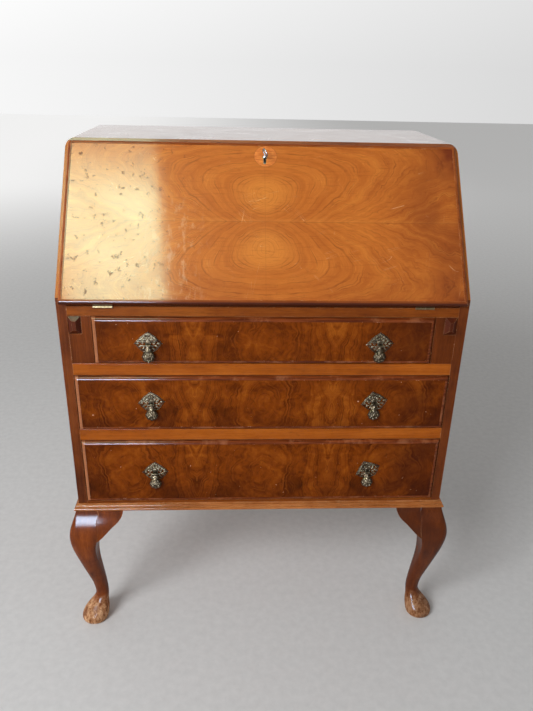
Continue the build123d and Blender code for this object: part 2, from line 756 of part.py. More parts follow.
def pull_plate(number, sign):
    """A cast back plate with two lugs for its pendant, its stud and nut, and the pivot pin."""
    pull_z = DRAWERS[number][3]
    x = sign * PULL_X
    face = FRONT_Y - FRONT_PROUD + FIELD_STEP
    pivot_z = pull_z - PIVOT_DROP
    left = [(-a, b) for a, b in PLATE_OUTLINE[:0:-1]]
    turn = math.radians(PLATE_TURN[number, sign])
    across = (math.cos(turn), 0, math.sin(turn))
    with BuildPart() as plate:
        with BuildSketch(Plane((x, face, pull_z), x_dir=across, z_dir=(0, -1, 0))):
            with BuildLine():
                Polyline(*PLATE_OUTLINE, *left, close=True)
            make_face()
        extrude(amount=PLATE_THICKNESS)
        with BuildSketch(Plane.YZ.offset(x)):
            with Locations((face - PIVOT_PROUD / 2 - 0.5, pivot_z)):
                Rectangle(PIVOT_PROUD + 1, 5)
            with Locations((face - PIVOT_PROUD - 0.8, pivot_z)):
                Circle(2.5)
        extrude(amount=5, both=True)
        with Locations((x, face - PIVOT_PROUD, pivot_z)):
            Box(6.2, PIVOT_PROUD * 2 - 2 * PLATE_THICKNESS, 14, mode=Mode.SUBTRACT)
            Cylinder(1.2, 20, rotation=(0, 90, 0), mode=Mode.SUBTRACT)
        with Locations((x, face + 12, pull_z)):
            Cylinder(2, 24, rotation=(90, 0, 0))
    with BuildPart() as pin:
        with Locations((x, face - PIVOT_PROUD, pivot_z)):
            Cylinder(1.2, 10, rotation=(0, 90, 0))
    with BuildPart() as nut:
        with BuildSketch(Plane.XZ.offset(-FRONT_Y - 18.2)):
            with Locations((x, pull_z)):
                RegularPolygon(4.6, 6)
                Circle(2, mode=Mode.SUBTRACT)
        extrude(amount=3)
    return [plate.part, pin.part, nut.part]


def pendant(number, sign):
    """The drop: an eye on the pivot pin, a neck and a flattened ball."""
    pull_z = DRAWERS[number][3]
    x = sign * PULL_X
    y = FRONT_Y - FRONT_PROUD + FIELD_STEP - PIVOT_PROUD
    pivot_z = pull_z - PIVOT_DROP
    ball_z = pivot_z - BALL_DROP
    with BuildPart() as drop:
        with Locations((x, y, pivot_z)):
            Cylinder(2.9, 5.4, rotation=(0, 90, 0))
        with BuildSketch(Plane.XY.offset(pivot_z - 1.5).move(Location((x, y, 0)))):
            RectangleRounded(5.2, 4, 1.2)
        extrude(amount=-2.5)
        with BuildSketch(Plane.XY.offset(pivot_z - 4).move(Location((x, y, 0)))):
            RectangleRounded(5.2, 4, 1.2)
        with BuildSketch(Plane.XY.offset(pivot_z - 8.5).move(Location((x, y, 0)))):
            RectangleRounded(13, 5.5, 1.2)
        loft()
        with BuildSketch(Plane.XY.offset(pivot_z - 8.5).move(Location((x, y, 0)))):
            RectangleRounded(13, 5.5, 1.2)
        with BuildSketch(Plane.XY.offset(pivot_z - 14).move(Location((x, y, 0)))):
            RectangleRounded(8, 5, 1.2)
        loft()
        with BuildSketch(Plane((x, y, ball_z), x_dir=(0, 1, 0), z_dir=(1, 0, 0))):
            with BuildLine():
                Polyline((4.5, 2.2), (4.5, 0), (-4.5, 0), (-4.5, 2.2))
                ThreePointArc((-4.5, 2.2), (-3.7, 8), (-1.2, 12))
                Line((-1.2, 12), (1.2, 12))
                ThreePointArc((1.2, 12), (3.7, 8), (4.5, 2.2))
            make_face()
        revolve(axis=Axis((x, y, ball_z), (0, 1, 0)))
        with Locations((x, y, pivot_z)):
            Cylinder(1.26, 12, rotation=(0, 90, 0), mode=Mode.SUBTRACT)
    return drop.part


# ---------------------------------------------------------------- nest of pigeonholes
def nest_upright(x, low, high):
    """A thin upright whose front edge is cut back in a shallow curve above its foot."""
    front, back = NEST_FRONT_Y, PANEL_Y - 2
    deep = 34.0
    with BuildPart() as upright:
        with BuildSketch(Plane.YZ.offset(x - NEST_BOARD / 2)):
            with BuildLine():
                Polyline((front, low), (back, low), (back, high), (front, high))
                ThreePointArc((front, high), (front + deep, (low + high) / 2), (front, low))
            make_face()
        extrude(amount=NEST_BOARD)
    return upright.part


def nest_board(z):
    """A level board of the nest, right across the desk."""
    return board(
        -NEST_HALF + NEST_BOARD + 0.1,
        NEST_HALF - NEST_BOARD - 0.1,
        NEST_FRONT_Y,
        PANEL_Y - 2,
        z,
        z + NEST_BOARD,
        edge=0.8,
    )


def nest_drawer(sign):
    """One small drawer: front, two sides, back, bottom and a turned knob."""
    near, far = NEST_LOWER_X + NEST_BOARD / 2 + 1, NEST_HALF - NEST_BOARD - 1
    low, high = BED_Z + 1, NEST_SHELF_Z - 1
    x0, x1 = sorted((sign * near, sign * far))
    front = NEST_FRONT_Y
    end = front + 205
    with BuildPart() as knob:
        with BuildSketch(Plane(((x0 + x1) / 2, front, (low + high) / 2), x_dir=(1, 0, 0))):
            with BuildLine():
                Polyline((0, 0), (3, 0), (2.6, -4), (6, -8))
                ThreePointArc((6, -8), (5.6, -11.2), (2, -13))
                Polyline((2, -13), (0, -13), (0, 0))
            make_face()
        revolve(axis=Axis(((x0 + x1) / 2, front, (low + high) / 2), (0, 1, 0)))
    return [
        board(x0, x1, front, front + 9, low, high, edge=1.0),
        board(x0 + 0.5, x0 + 6.5, front + 9, end, low, high - 6),
        board(x1 - 6.5, x1 - 0.5, front + 9, end, low, high - 6),
        board(x0 + 6.5, x1 - 6.5, end - 6, end, low + 5, high - 8),
        board(x0 + 6.6, x1 - 6.6, front + 9.2, end, low + 1.5, low + 4.9),
        knob.part,
    ]


# ---------------------------------------------------------------- write every node
write(side_board(-1), "side_left")
write(side_board(1), "side_right")
write(top_board(), "top_board")
write(bottom_board(), "bottom_board")
write(board(-INNER, INNER, PANEL_Y, BACK_Y, CASE_BOTTOM, UNDER_TOP), "back_panel")
write(top_rail(), "top_rail")
write(board(-INNER, INNER, FRONT_Y + 60, PANEL_Y, BED_Z - 14, BED_Z), "writing_bed")
for rail_name, rail_z in (("drawer_rail_upper", RAIL_UPPER_Z), ("drawer_rail_lower", RAIL_LOWER_Z)):
    rail = board(-INNER, INNER, FRONT_Y, FRONT_Y + RAIL_DEPTH, rail_z, rail_z + RAIL, edge=0.8)
    write(rail, rail_name)
write(loper_facing(-1), "loper_facing_left")
write(loper_facing(1), "loper_facing_right")

guide = board(
    PARTITION_INNER, PARTITION_OUTER, FRONT_Y + 18, PANEL_Y, RAIL_UPPER_Z + RAIL, BED_Z - 18
)
bearer_top = LOPER_TOP - LOPER_HEIGHT - 0.5
bearer = board(
    PARTITION_OUTER, INNER, FRONT_Y + 18, PANEL_Y, bearer_top - 20, bearer_top
)
gather("loper_guides", [guide, mirrored(guide), bearer, mirrored(bearer)])

RUNNER_START = FRONT_Y + RAIL_DEPTH
runner_upper = board(296, INNER, RUNNER_START, PANEL_Y, RAIL_UPPER_Z + 6, RAIL_UPPER_Z + RAIL)
runner_lower = board(340, INNER, RUNNER_START, PANEL_Y, RAIL_LOWER_Z + 6, RAIL_LOWER_Z + RAIL)
gather("drawer_runners_upper", [runner_upper, mirrored(runner_upper)])
gather("drawer_runners_lower", [runner_lower, mirrored(runner_lower)])

write(base_moulding_front(), "base_moulding_front")
write(base_moulding_side(-1), "base_moulding_left")
write(base_moulding_side(1), "base_moulding_right")

for leg_corner, placing in LEG_CORNERS.items():
    write(leg(*placing), f"leg_{leg_corner}")
gather(
    "knee_brackets_front", leg_brackets("front_left") + leg_brackets("front_right")
)
gather("knee_brackets_rear", leg_brackets("rear_left") + leg_brackets("rear_right"))
gather("glue_blocks", [glue_block(c, way) for c in LEG_CORNERS for way in (True, False)])
gather("leg_screws", [leg_screw(c) for c in LEG_CORNERS])

fall = fall_whole()
write(fall_panel(fall), "fall_panel")
gather("fall_lippings", [fall_lipping(fall, p) for p in ("bottom", "top", "left", "right")])
gather("hinge_leaves_fall", [hinge_leaf(-HINGE_X, True), hinge_leaf(HINGE_X, True)])
gather("hinge_leaves_case", [hinge_leaf(-HINGE_X, False), hinge_leaf(HINGE_X, False)])
gather("hinge_pins", [hinge_pin(-HINGE_X), hinge_pin(HINGE_X)])
write(lock_case(), "lock_case")
write(lock_bolt(), "lock_bolt")
write(lock_striker(), "lock_striker")
write(keyhole_escutcheon(), "keyhole_escutcheon")
write(fall_key(), "fall_key")

gather("loper_left", loper_solids(-1))
gather("loper_right", loper_solids(1))

for n in DRAWERS:
    write(drawer_front(n), f"drawer_{n}_front")
    gather(f"drawer_{n}_box", drawer_box(n))
    write(drawer_bottom(n), f"drawer_{n}_bottom")
    gather(f"drawer_{n}_pull_plates", pull_plate(n, -1) + pull_plate(n, 1))
    write(pendant(n, -1), f"drawer_{n}_pendant_left")
    write(pendant(n, 1), f"drawer_{n}_pendant_right")

ends_x = NEST_HALF - NEST_BOARD / 2
uprights = [nest_upright(s * ends_x, BED_Z + 0.1, NEST_TOP_Z) for s in (-1, 1)]
uprights += [nest_upright(s * NEST_LOWER_X, BED_Z + 0.1, NEST_SHELF_Z) for s in (-1, 1)]
uprights += [
    nest_upright(x, NEST_SHELF_Z + NEST_BOARD, NEST_TOP_Z - NEST_BOARD) for x in NEST_UPPER_X
]
gather("nest_uprights", uprights)
write(nest_board(NEST_SHELF_Z), "nest_shelf")
write(nest_board(NEST_TOP_Z - NEST_BOARD), "nest_top")
gather("nest_drawer_left", nest_drawer(-1))
gather("nest_drawer_right", nest_drawer(1))
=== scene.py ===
import json
import math

import bmesh
import bpy
from mathutils import Matrix, Vector


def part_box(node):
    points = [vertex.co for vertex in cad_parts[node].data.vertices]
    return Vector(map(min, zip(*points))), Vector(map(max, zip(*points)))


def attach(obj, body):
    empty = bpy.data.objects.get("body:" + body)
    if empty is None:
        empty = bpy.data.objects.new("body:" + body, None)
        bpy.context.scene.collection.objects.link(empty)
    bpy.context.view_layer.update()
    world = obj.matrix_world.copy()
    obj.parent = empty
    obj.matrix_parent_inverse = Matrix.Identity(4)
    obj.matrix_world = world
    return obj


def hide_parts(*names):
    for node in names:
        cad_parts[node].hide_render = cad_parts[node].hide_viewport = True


# The looks of a slant-front secretary desk, in metres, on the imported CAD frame.
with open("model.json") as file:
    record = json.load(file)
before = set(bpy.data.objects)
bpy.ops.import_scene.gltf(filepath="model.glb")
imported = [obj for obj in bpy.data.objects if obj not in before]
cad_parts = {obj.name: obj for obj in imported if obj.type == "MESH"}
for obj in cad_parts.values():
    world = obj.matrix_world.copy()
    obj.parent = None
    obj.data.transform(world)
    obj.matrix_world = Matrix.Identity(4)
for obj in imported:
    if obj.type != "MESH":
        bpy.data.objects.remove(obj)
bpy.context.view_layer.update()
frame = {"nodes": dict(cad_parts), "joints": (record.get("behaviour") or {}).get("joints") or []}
nodes = frame["nodes"]

MM = 0.001
ACROSS = Vector((1, 0, 0))
UP = Vector((0, 0, 1))
FRONT = Vector((0, -1, 0))
joints = {joint["name"]: joint for joint in frame["joints"]}
HINGE = Vector(joints["fall_hinge"]["pos_m"])
FALL_OUT = Vector(joints["key_turn"]["axis"])
FALL_UP = FALL_OUT.cross(ACROSS)
KEY_AT = Vector(joints["key_turn"]["pos_m"])
CASE_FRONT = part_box("side_left")[0].y
LIPPING = 7.2 * MM  # width of the moulding round the fall's and the drawers' fields
SIDES = ("left", "right")


# ---------------------------------------------------------------- node trees
def tone(red, green, blue):
    """A colour given in display values from 0 to 255, as the linear colour that a shader takes."""
    linear = []
    for value in (red, green, blue):
        part = value / 255
        linear.append(part / 12.92 if part <= 0.04045 else ((part + 0.055) / 1.055) ** 2.4)
    return (*linear, 1.0)


class Nodes:
    """The node tree of a material, a world or a lamp, with short names for the nodes that they share."""

    def __init__(self, owner):
        owner.use_nodes = True
        self.tree = owner.node_tree
        self.tree.nodes.clear()

    def add(self, kind, sockets=(), **settings):
        """A new node with some of its properties set, and some of its sockets fed by name."""
        node = self.tree.nodes.new(kind)
        for key, value in settings.items():
            setattr(node, key, value)
        for name, value in dict(sockets).items():
            self.feed(node.inputs[name], value)
        return node

    def feed(self, socket, value):
        """Links an output to a socket, or sets the socket's own value."""
        if isinstance(value, bpy.types.NodeSocket):
            self.tree.links.new(value, socket)
        else:
            socket.default_value = value

    def math(self, operation, *values, clamp=False):
        """A sum on numbers, each an output or a plain value."""
        node = self.add("ShaderNodeMath", operation=operation, use_clamp=clamp)
        for socket, value in zip(node.inputs, values):
            self.feed(socket, value)
        return node.outputs[0]

    def vector(self, operation, *values):
        """A sum on vectors, which gives a number for a product or a length."""
        node = self.add("ShaderNodeVectorMath", operation=operation)
        for socket, value in zip(node.inputs, values):
            self.feed(socket, value)
        return node.outputs["Value" if operation in ("DOT_PRODUCT", "LENGTH") else "Vector"]

    def scaled(self, place, *factors):
        """The place stretched by its own factor on each axis."""
        return self.vector("MULTIPLY", place, factors)

    def split(self, place):
        """A vector's three parts."""
        node = self.add("ShaderNodeSeparateXYZ")
        self.feed(node.inputs[0], place)
        return node.outputs

    def join(self, x, y, z):
        """A vector from three parts."""
        node = self.add("ShaderNodeCombineXYZ")
        for socket, value in zip(node.inputs, (x, y, z)):
            self.feed(socket, value)
        return node.outputs[0]

    def noise(self, place, scale, detail=3.0, roughness=0.55, distortion=0.0, colour=False):
        """Cloudy noise about 0.5, as a number or, with colour, as three."""
        sockets = {"Vector": place, "Scale": scale, "Detail": detail, "Roughness": roughness}
        node = self.add("ShaderNodeTexNoise", sockets | {"Distortion": distortion})
        return node.outputs["Color" if colour else "Fac"]

    def drift(self, place, scale, detail=3.0, roughness=0.55):
        """Noise of three parts about zero."""
        noise = self.noise(place, scale, detail, roughness, colour=True)
        return self.vector("SUBTRACT", noise, (0.5, 0.5, 0.5))

    def lines(self, value, scale, detail=4.0, roughness=0.6):
        """Bands of uneven width across the direction in which value grows."""
        sockets = {"W": value, "Scale": scale, "Detail": detail, "Roughness": roughness}
        return self.add("ShaderNodeTexNoise", sockets, noise_dimensions="1D").outputs["Fac"]

    def cells(self, place, scale):
        """Distance to the nearest of many scattered points."""
        return self.add("ShaderNodeTexVoronoi", {"Vector": place, "Scale": scale}).outputs["Distance"]

    def sway(self, place, scale, amount, detail=2.0):
        """The place moved about by a slow noise, as far as amount either way."""
        moved = self.scaled(self.drift(place, scale, detail), 2 * amount, 2 * amount, 2 * amount)
        return self.vector("ADD", place, moved)

    def span(self, value, low, high, to_low=0.0, to_high=1.0, course="SMOOTHSTEP"):
        """Value from low to high taken smoothly to another range, and held at its ends."""
        node = self.add("ShaderNodeMapRange", interpolation_type=course)
        for socket, part in zip(node.inputs, (value, low, high, to_low, to_high)):
            self.feed(socket, part)
        return node.outputs[0]

    def ramp(self, value, *stops):
        """A colour ramp from (position, colour) stops."""
        node = self.add("ShaderNodeValToRGB")
        self.feed(node.inputs[0], value)
        elements = node.color_ramp.elements
        while len(elements) < len(stops):
            elements.new(0.5)
        for element, (position, colour) in zip(elements, stops):
            element.position = position
            element.color = colour
        return node.outputs[0]

    def mix(self, amount, first, second):
        """The first colour turned into the second by amount."""
        node = self.add("ShaderNodeMix", data_type="RGBA")
        self.feed(node.inputs["Factor"], amount)
        self.feed(node.inputs[6], first)
        self.feed(node.inputs[7], second)
        return node.outputs[2]

    def both(self, first, second):
        """Two masks multiplied."""
        return self.math("MULTIPLY", first, second)

    def output(self, kind, shader):
        """Hands a shader to the tree's output."""
        self.feed(self.add(kind).inputs["Surface"], shader.outputs[0])


class Finish(Nodes):
    """A procedural material, in the object's own coordinates."""

    def __init__(self, name):
        self.material = bpy.data.materials.new(name)
        super().__init__(self.material)
        self.place = self.add("ShaderNodeTexCoord").outputs["Object"]

    def hollows(self, reach):
        """1 in narrow hollows, 0 in the open."""
        open_sky = self.add("ShaderNodeAmbientOcclusion", {"Distance": reach}, samples=6)
        return self.span(open_sky.outputs["AO"], 0.75, 0.3)

    def edges(self, radius):
        """1 on sharp edges within radius, 0 on flat ground."""
        soft = self.add("ShaderNodeBevel", {"Radius": radius}, samples=6)
        flat = self.add("ShaderNodeNewGeometry").outputs["Normal"]
        same = self.vector("DOT_PRODUCT", soft.outputs[0], flat)
        return self.span(same, 0.985, 0.85)

    def finish(self, colour, height, relief, rough, ease=0.6 * MM, **more):
        """The shader: height is a 0 to 1 bump field, relief its depth in metres, ease the radius that
        sharp edges are softened by; more names its other sockets."""
        bump = self.add("ShaderNodeBump", {"Distance": relief, "Height": height})
        if ease:
            soft = self.add("ShaderNodeBevel", {"Radius": ease}, samples=4)
            self.feed(bump.inputs["Normal"], soft.outputs[0])
        sockets = {name.replace("_", " "): value for name, value in more.items()}
        sockets |= {"Base Color": colour, "Roughness": rough, "Normal": bump.outputs[0]}
        self.output("ShaderNodeOutputMaterial", self.add("ShaderNodeBsdfPrincipled", sockets))
        return self.material


# ---------------------------------------------------------------- woods
LONG_GRAIN = {"x": (0.05, 1, 1), "y": (1, 0.05, 1), "z": (1, 1, 0.05)}
POLISH = {"Coat_Weight": 0.3, "Coat_Roughness": 0.13, "Coat_IOR": 1.45, "Specular_IOR_Level": 0.0}
BRIGHT_POLISH = {"Coat_Weight": 0.5, "Coat_Roughness": 0.12, "Coat_IOR": 1.45, "Specular_IOR_Level": 0.0}
TABLE_GLOSS = {"Coat_Weight": 1.0, "Coat_Roughness": 0.13, "Coat_IOR": 1.6, "Specular_IOR_Level": 0.3}
THIN_POLISH = {"Coat_Weight": 0.3, "Coat_Roughness": 0.3, "Specular_IOR_Level": 0.4}
BARE = {"Coat_Weight": 0.0, "Specular_IOR_Level": 0.35}
SCUFF_TOP = 62 * MM  # the feet are scuffed bare below this height, wholly so below SCUFF_FULL
SCUFF_FULL = 38 * MM
LIP_SHADE_TOP = 756 * MM  # the fall's bottom lipping gets painted shade, nearly black, below this height


def chips(f):
    """Small worn spots along edges, where the pale wood shows."""
    broken = f.span(f.noise(f.place, 95, 4, 0.7), 0.55, 0.68)
    return f.both(f.edges(1.6 * MM), broken)


def wood(name, along, tones, worn=0.6, seed=0.0, gloss=POLISH, rough=0.34, relief=0.12 * MM, ease=0.6 * MM,
         lit_slant=False, feet_scuffed_and_shaded=False, shaded_lip=False):
    """Straight-grained wood with its grain along x, y or z, in dark, middle and light tones, polished
    and a little worn. One option paints a highlight on its faces that look the way the fall does; another
    scuffs it bare near the floor and paints shade on it, darker to the right; a third paints shade on its
    bottom edge, nearly black."""
    dark, middle, light = (tone(*display) for display in tones)
    f = Finish(name)
    place = f.vector("ADD", f.place, (seed, 0.37 * seed, 0.71 * seed))
    long = f.sway(f.scaled(place, *LONG_GRAIN[along]), 7, 0.012)
    bands = f.noise(long, 60, 5, 0.62)
    fine = f.noise(long, 520, 3, 0.6)
    pores = f.span(f.noise(long, 1500, 2, 0.5), 0.6, 0.72)
    figure = f.noise(place, 7, 4, 0.6)
    ripple = f.noise(place, 38, 3, 0.5)
    amount = f.math("ADD", f.both(bands, 0.55), f.both(figure, 0.45))
    colour = f.ramp(amount, (0.31, dark), (0.5, middle), (0.69, light))
    colour = f.mix(f.both(f.span(fine, 0.4, 0.75), 0.35), colour, dark)
    colour = f.mix(f.both(pores, 0.55), colour, tone(48, 24, 14))
    colour = f.mix(f.span(ripple, 0.35, 0.7, 0.0, 0.16), colour, light)
    if lit_slant:
        # Painted highlight: faces that look the way the fall does, up and out, are painted lighter, as
        # where the light falls on them.
        normal = f.add("ShaderNodeNewGeometry").outputs["True Normal"]
        facing = f.vector("DOT_PRODUCT", normal, tuple(FALL_OUT))
        colour = f.mix(f.span(facing, 0.9, 0.97, 0.0, 0.75), colour, tone(198, 118, 52))
    if shaded_lip:
        # Painted shade: the lipping's downward-facing bottom edge is darkened nearly to black.
        bottom_shade = f.span(f.split(f.place)[2], LIP_SHADE_TOP + 4 * MM, LIP_SHADE_TOP, 0.0, 0.85)
        colour = f.mix(bottom_shade, colour, tone(52, 16, 12))
    rubbed = f.both(f.edges(2.2 * MM), f.span(f.noise(place, 30, 3), 0.4, 0.62, 0.1, 0.75))
    colour = f.mix(f.both(rubbed, worn), colour, tone(196, 138, 88))
    colour = f.mix(f.both(chips(f), worn), colour, tone(214, 168, 118))
    smears = f.noise(place, 16, 4, 0.6)
    height = f.math("SUBTRACT", f.math("ADD", f.both(fine, 0.3), f.both(smears, 0.3)), pores)
    surface = f.math("ADD", f.span(smears, 0.35, 0.7, rough - 0.07, rough + 0.1), f.both(pores, 0.12))
    more = dict(gloss)
    if feet_scuffed_and_shaded:
        x, _, z = f.split(f.place)
        # Painted shade: darker toward the right, the side away from the light.
        colour = f.mix(f.span(x, -0.2, 0.3, 0.0, 0.5), colour, tone(44, 14, 3))
        patches = f.span(f.noise(place, 34, 4, 0.7), 0.36, 0.52, 0.3, 1.0)
        low = f.both(f.span(z, SCUFF_TOP, SCUFF_FULL), patches)
        low = f.both(low, f.span(x, -0.2, 0.2, 1.0, 0.62))
        crackle = f.noise(f.scaled(place, 1, 1, 0.45), 170, 5, 0.72)
        bare = f.ramp(
            crackle, (0.36, tone(104, 62, 36)), (0.46, tone(172, 122, 84)), (0.64, tone(220, 178, 138)),
        )
        colour = f.mix(f.both(low, 0.9), colour, bare)
        height = f.math("ADD", height, f.both(f.both(crackle, low), 4.0))
        surface = f.math("ADD", surface, f.both(low, 0.25))
        more["Coat_Weight"] = f.math("MULTIPLY_ADD", low, -0.42, more["Coat_Weight"])
    return f.finish(colour, height, relief, surface, ease=ease, **more)


def slope_place(f):
    """Across and up the fall: x from the middle, y up the slope from the hinge pins."""
    from_pin = f.vector("SUBTRACT", f.place, tuple(HINGE))
    return f.split(f.place)[0], f.vector("DOT_PRODUCT", from_pin, tuple(FALL_UP))


SEAM_UP = 160 * MM  # the level seam of the quarter-matched veneers, above the pins
EYE = 53.5 * MM  # the rings' middle from that seam
EYE_HIGH = 27 * MM  # the innermost ring's half height
INLAY_ACROSS = 1.6 * MM  # the round inlay about the keyhole
INLAY_UP = 293.5 * MM
INLAY_RADIUS = 21.9 * MM
FALL_FACE = 16 * MM  # what lies farther out from the pins' plane than this is the veneered face


def fall_figure(f, across, up):
    """Colour, line strength and fine relief of the four matched veneers."""
    side = f.math("ABSOLUTE", across)
    rise = f.math("SUBTRACT", up, SEAM_UP)
    lift = f.math("ABSOLUTE", rise)
    upper = f.math("GREATER_THAN", rise, 0.0)
    leaf = f.join(side, lift, f.both(upper, 0.004))
    drift = f.split(f.drift(leaf, 13))
    jag = f.split(f.drift(leaf, 55))
    far = f.span(side, 0.06, 0.3, 0.25, 1.0)
    bent = f.math("ADD", side, f.both(f.math("MULTIPLY_ADD", drift[0], 0.075, f.both(jag[0], 0.02)), far))
    off = f.math("SUBTRACT", lift, EYE)
    off = f.math("ADD", off, f.both(f.math("MULTIPLY_ADD", drift[1], 0.05, f.both(jag[1], 0.014)), far))
    egg = f.math("MULTIPLY_ADD", off, 7.0, 1.04)
    egg = f.math("MAXIMUM", egg, 0.5)
    wide = f.math("POWER", f.math("DIVIDE", bent, f.both(egg, 0.03)), 2.0)
    tall = f.math("POWER", f.math("ABSOLUTE", f.math("DIVIDE", off, EYE_HIGH)), 2.5)
    ring = f.math("SQRT", f.math("ADD", wide, tall))
    spread = f.math("POWER", ring, 0.82)
    bands = f.lines(spread, 1.9, 4, 0.6)
    thin = f.lines(spread, 10.0, 3, 0.65)
    hair = f.noise(f.join(spread, f.both(side, 1.5), f.both(lift, 1.5)), 34, 3, 0.6)
    cloud = f.noise(leaf, 9, 3, 0.5)
    base = f.math("ADD", f.both(bands, 0.6), f.both(cloud, 0.4))
    colour = f.ramp(base, (0.26, tone(166, 82, 22)), (0.5, tone(196, 108, 36)), (0.74, tone(214, 128, 46)))
    glow = f.span(ring, 2.6, 0.1, 0.0, 0.5)
    colour = f.mix(glow, colour, tone(228, 144, 56))
    line = f.span(thin, 0.43, 0.34, 0.0, 0.72)
    fade = f.span(ring, 0.1, 1.6, 0.5, 0.8)
    patchy_and_glare_fade = f.span(f.noise(leaf, 26, 2), 0.35, 0.62, 0.15, 1.0)
    patchy_and_glare_fade = f.both(patchy_and_glare_fade, f.span(across, -0.26, -0.14, 0.3, 1.0))  # painted reflection: figure lines fainter on the left, where the window's glare lies
    colour = f.mix(f.both(f.both(line, fade), patchy_and_glare_fade), colour, tone(126, 62, 16))
    colour = f.mix(f.span(hair, 0.56, 0.74, 0.0, 0.42), colour, tone(150, 72, 22))
    colour = f.mix(f.span(hair, 0.44, 0.3, 0.0, 0.3), colour, tone(238, 150, 58))
    return colour, thin, side, lift, rise


def keyhole_inlay(f, across, up, colour):
    """The round inlay about the keyhole, with its thin dark joint."""
    hub = f.join(f.math("SUBTRACT", across, INLAY_ACROSS), f.math("SUBTRACT", up, INLAY_UP), 0.0)
    out = f.vector("LENGTH", f.sway(hub, 160, 0.25 * MM))
    grain = f.noise(f.join(f.both(across, 0.25), up, 0.3), 330, 3)
    inlay = f.ramp(grain, (0.3, tone(196, 98, 34)), (0.7, tone(236, 146, 66)))
    colour = f.mix(f.span(out, INLAY_RADIUS, INLAY_RADIUS - 0.5 * MM), colour, inlay)
    outside = f.span(out, INLAY_RADIUS + 0.4 * MM, INLAY_RADIUS - 0.1 * MM)
    inside = f.span(out, INLAY_RADIUS - 1.0 * MM, INLAY_RADIUS - 0.4 * MM)
    return f.mix(f.both(f.both(outside, inside), 0.5), colour, tone(120, 58, 20))


def bloomed(f, across, up, colour):
    """A pale patch of bloomed polish, left of the middle."""
    bloom = f.both(f.span(across, -0.26, -0.17), f.span(across, -0.09, -0.15))
    cloud = f.noise(f.join(f.both(across, 1.6), f.both(up, 0.6), 2.0), 48, 5, 0.7)
    bloom = f.both(bloom, f.span(cloud, 0.5, 0.68))
    bloom = f.both(bloom, f.span(up, 0.24, 0.15))
    return f.mix(f.both(bloom, 0.4), colour, tone(226, 182, 140))


def veneer_fall():
    """The fall's quarter-matched walnut, its inlaid keyhole disc, seams, marks and dull spots."""
    f = Finish("fall_veneer")
    across, up = slope_place(f)
    colour, thin, side, lift, rise = fall_figure(f, across, up)
    upright = f.span(side, 0.8 * MM, 0.3 * MM, 0, 0.16)
    seam = f.math("MAXIMUM", upright, f.span(lift, 0.8 * MM, 0.2 * MM, 0, 0.45))
    colour = f.mix(seam, colour, tone(110, 54, 18))
    gold = f.span(lift, 9 * MM, 1.5 * MM, 0.0, 0.12)
    colour = f.mix(f.both(gold, f.math("GREATER_THAN", rise, 0.0)), colour, tone(240, 160, 70))
    # Darker, redder ground toward the right, the lower edge and the corners.
    shade = f.math("ADD", f.span(across, 0.2, 0.37, 0.0, 0.62), f.span(up, 0.1, 0.0, 0.0, 0.2))
    cloud = f.noise(f.join(across, up, 0.0), 8, 4, 0.6)
    shade = f.both(shade, f.span(cloud, 0.3, 0.66, 0.25, 1.3))
    corner = f.both(f.span(across, 0.26, 0.38), f.span(up, 0.21, 0.32))
    shade = f.math("ADD", shade, f.both(corner, 0.4), clamp=True)
    colour = f.mix(shade, colour, tone(112, 42, 12))
    streaks = f.noise(f.join(f.both(across, 0.12), up, 0.0), 240, 3, 0.6)
    colour = f.mix(f.span(streaks, 0.5, 0.75, 0.0, 0.4), colour, tone(150, 72, 20))
    colour = keyhole_inlay(f, across, up, colour)
    # Spots and dents where things stood, thick on the left, and hair scratches.
    spot_field = f.noise(f.join(across, up, 0.7), 74, 5, 0.72)
    left = f.span(across, -0.1, -0.24, 0.2, 1.0)
    spots = f.both(f.span(spot_field, 0.6, 0.64), left)
    colour = f.mix(f.both(spots, 0.8), colour, tone(104, 46, 16))
    colour = bloomed(f, across, up, colour)
    scratch = scratches(f, across, up)
    colour = f.mix(f.both(scratch, 0.5), colour, tone(240, 196, 140))
    colour = f.mix(f.both(chips(f), 0.7), colour, tone(205, 160, 110))
    # The panel's other faces have a plainer veneer.
    depth = f.vector("DOT_PRODUCT", f.vector("SUBTRACT", f.place, tuple(HINGE)), tuple(FALL_OUT))
    outer = f.span(depth, FALL_FACE - 0.5 * MM, FALL_FACE + 0.5 * MM)
    plain = f.noise(f.scaled(f.sway(f.place, 6, 0.01), 0.06, 1, 1), 130, 4, 0.6)
    inner = f.ramp(plain, (0.3, tone(112, 52, 22)), (0.7, tone(172, 92, 40)))
    colour = f.mix(outer, inner, colour)
    smears = f.noise(f.join(across, up, 4.0), 11, 4, 0.65)
    height = f.math("ADD", f.both(smears, 0.5), f.both(thin, 0.12))
    height = f.math("SUBTRACT", height, f.math("ADD", f.both(spots, 2.6), f.both(scratch, 0.25)))
    rough = f.span(smears, 0.3, 0.7, 0.3, 0.42)
    return f.finish(
        colour, height, 0.1 * MM, rough, Coat_Weight=f.math("MULTIPLY_ADD", spots, -0.62, 0.9),
        Coat_Roughness=0.1, Coat_IOR=1.45, Specular_IOR_Level=0.1,
    )


def scratches(f, across, up):
    """A few hair-fine scratches: thin level sets of stretched noise, broken into short runs."""
    total = 0.0
    for turn, seed in ((0.35, 3.1), (-0.9, 8.7), (1.4, 5.5)):
        along = f.math("MULTIPLY_ADD", across, math.cos(turn), f.both(up, math.sin(turn)))
        aside = f.math("MULTIPLY_ADD", up, math.cos(turn), f.both(across, -math.sin(turn)))
        field = f.noise(f.join(f.both(along, 0.06), aside, seed), 120, 0, 0.5)
        thread = f.span(f.math("ABSOLUTE", f.math("SUBTRACT", field, 0.62)), 0.004, 0.0015)
        part = f.span(f.noise(f.join(along, aside, seed + 1), 17, 2), 0.6, 0.68)
        total = f.math("MAXIMUM", total, f.both(thread, part))
    return total


LEAF = 132 * MM  # half the width of one leaf of the drawers' matched burr
LEAF_WARMTH = {1: 0.01, 2: 0.032, 3: 0.0}  # how much paler each drawer's leaves are


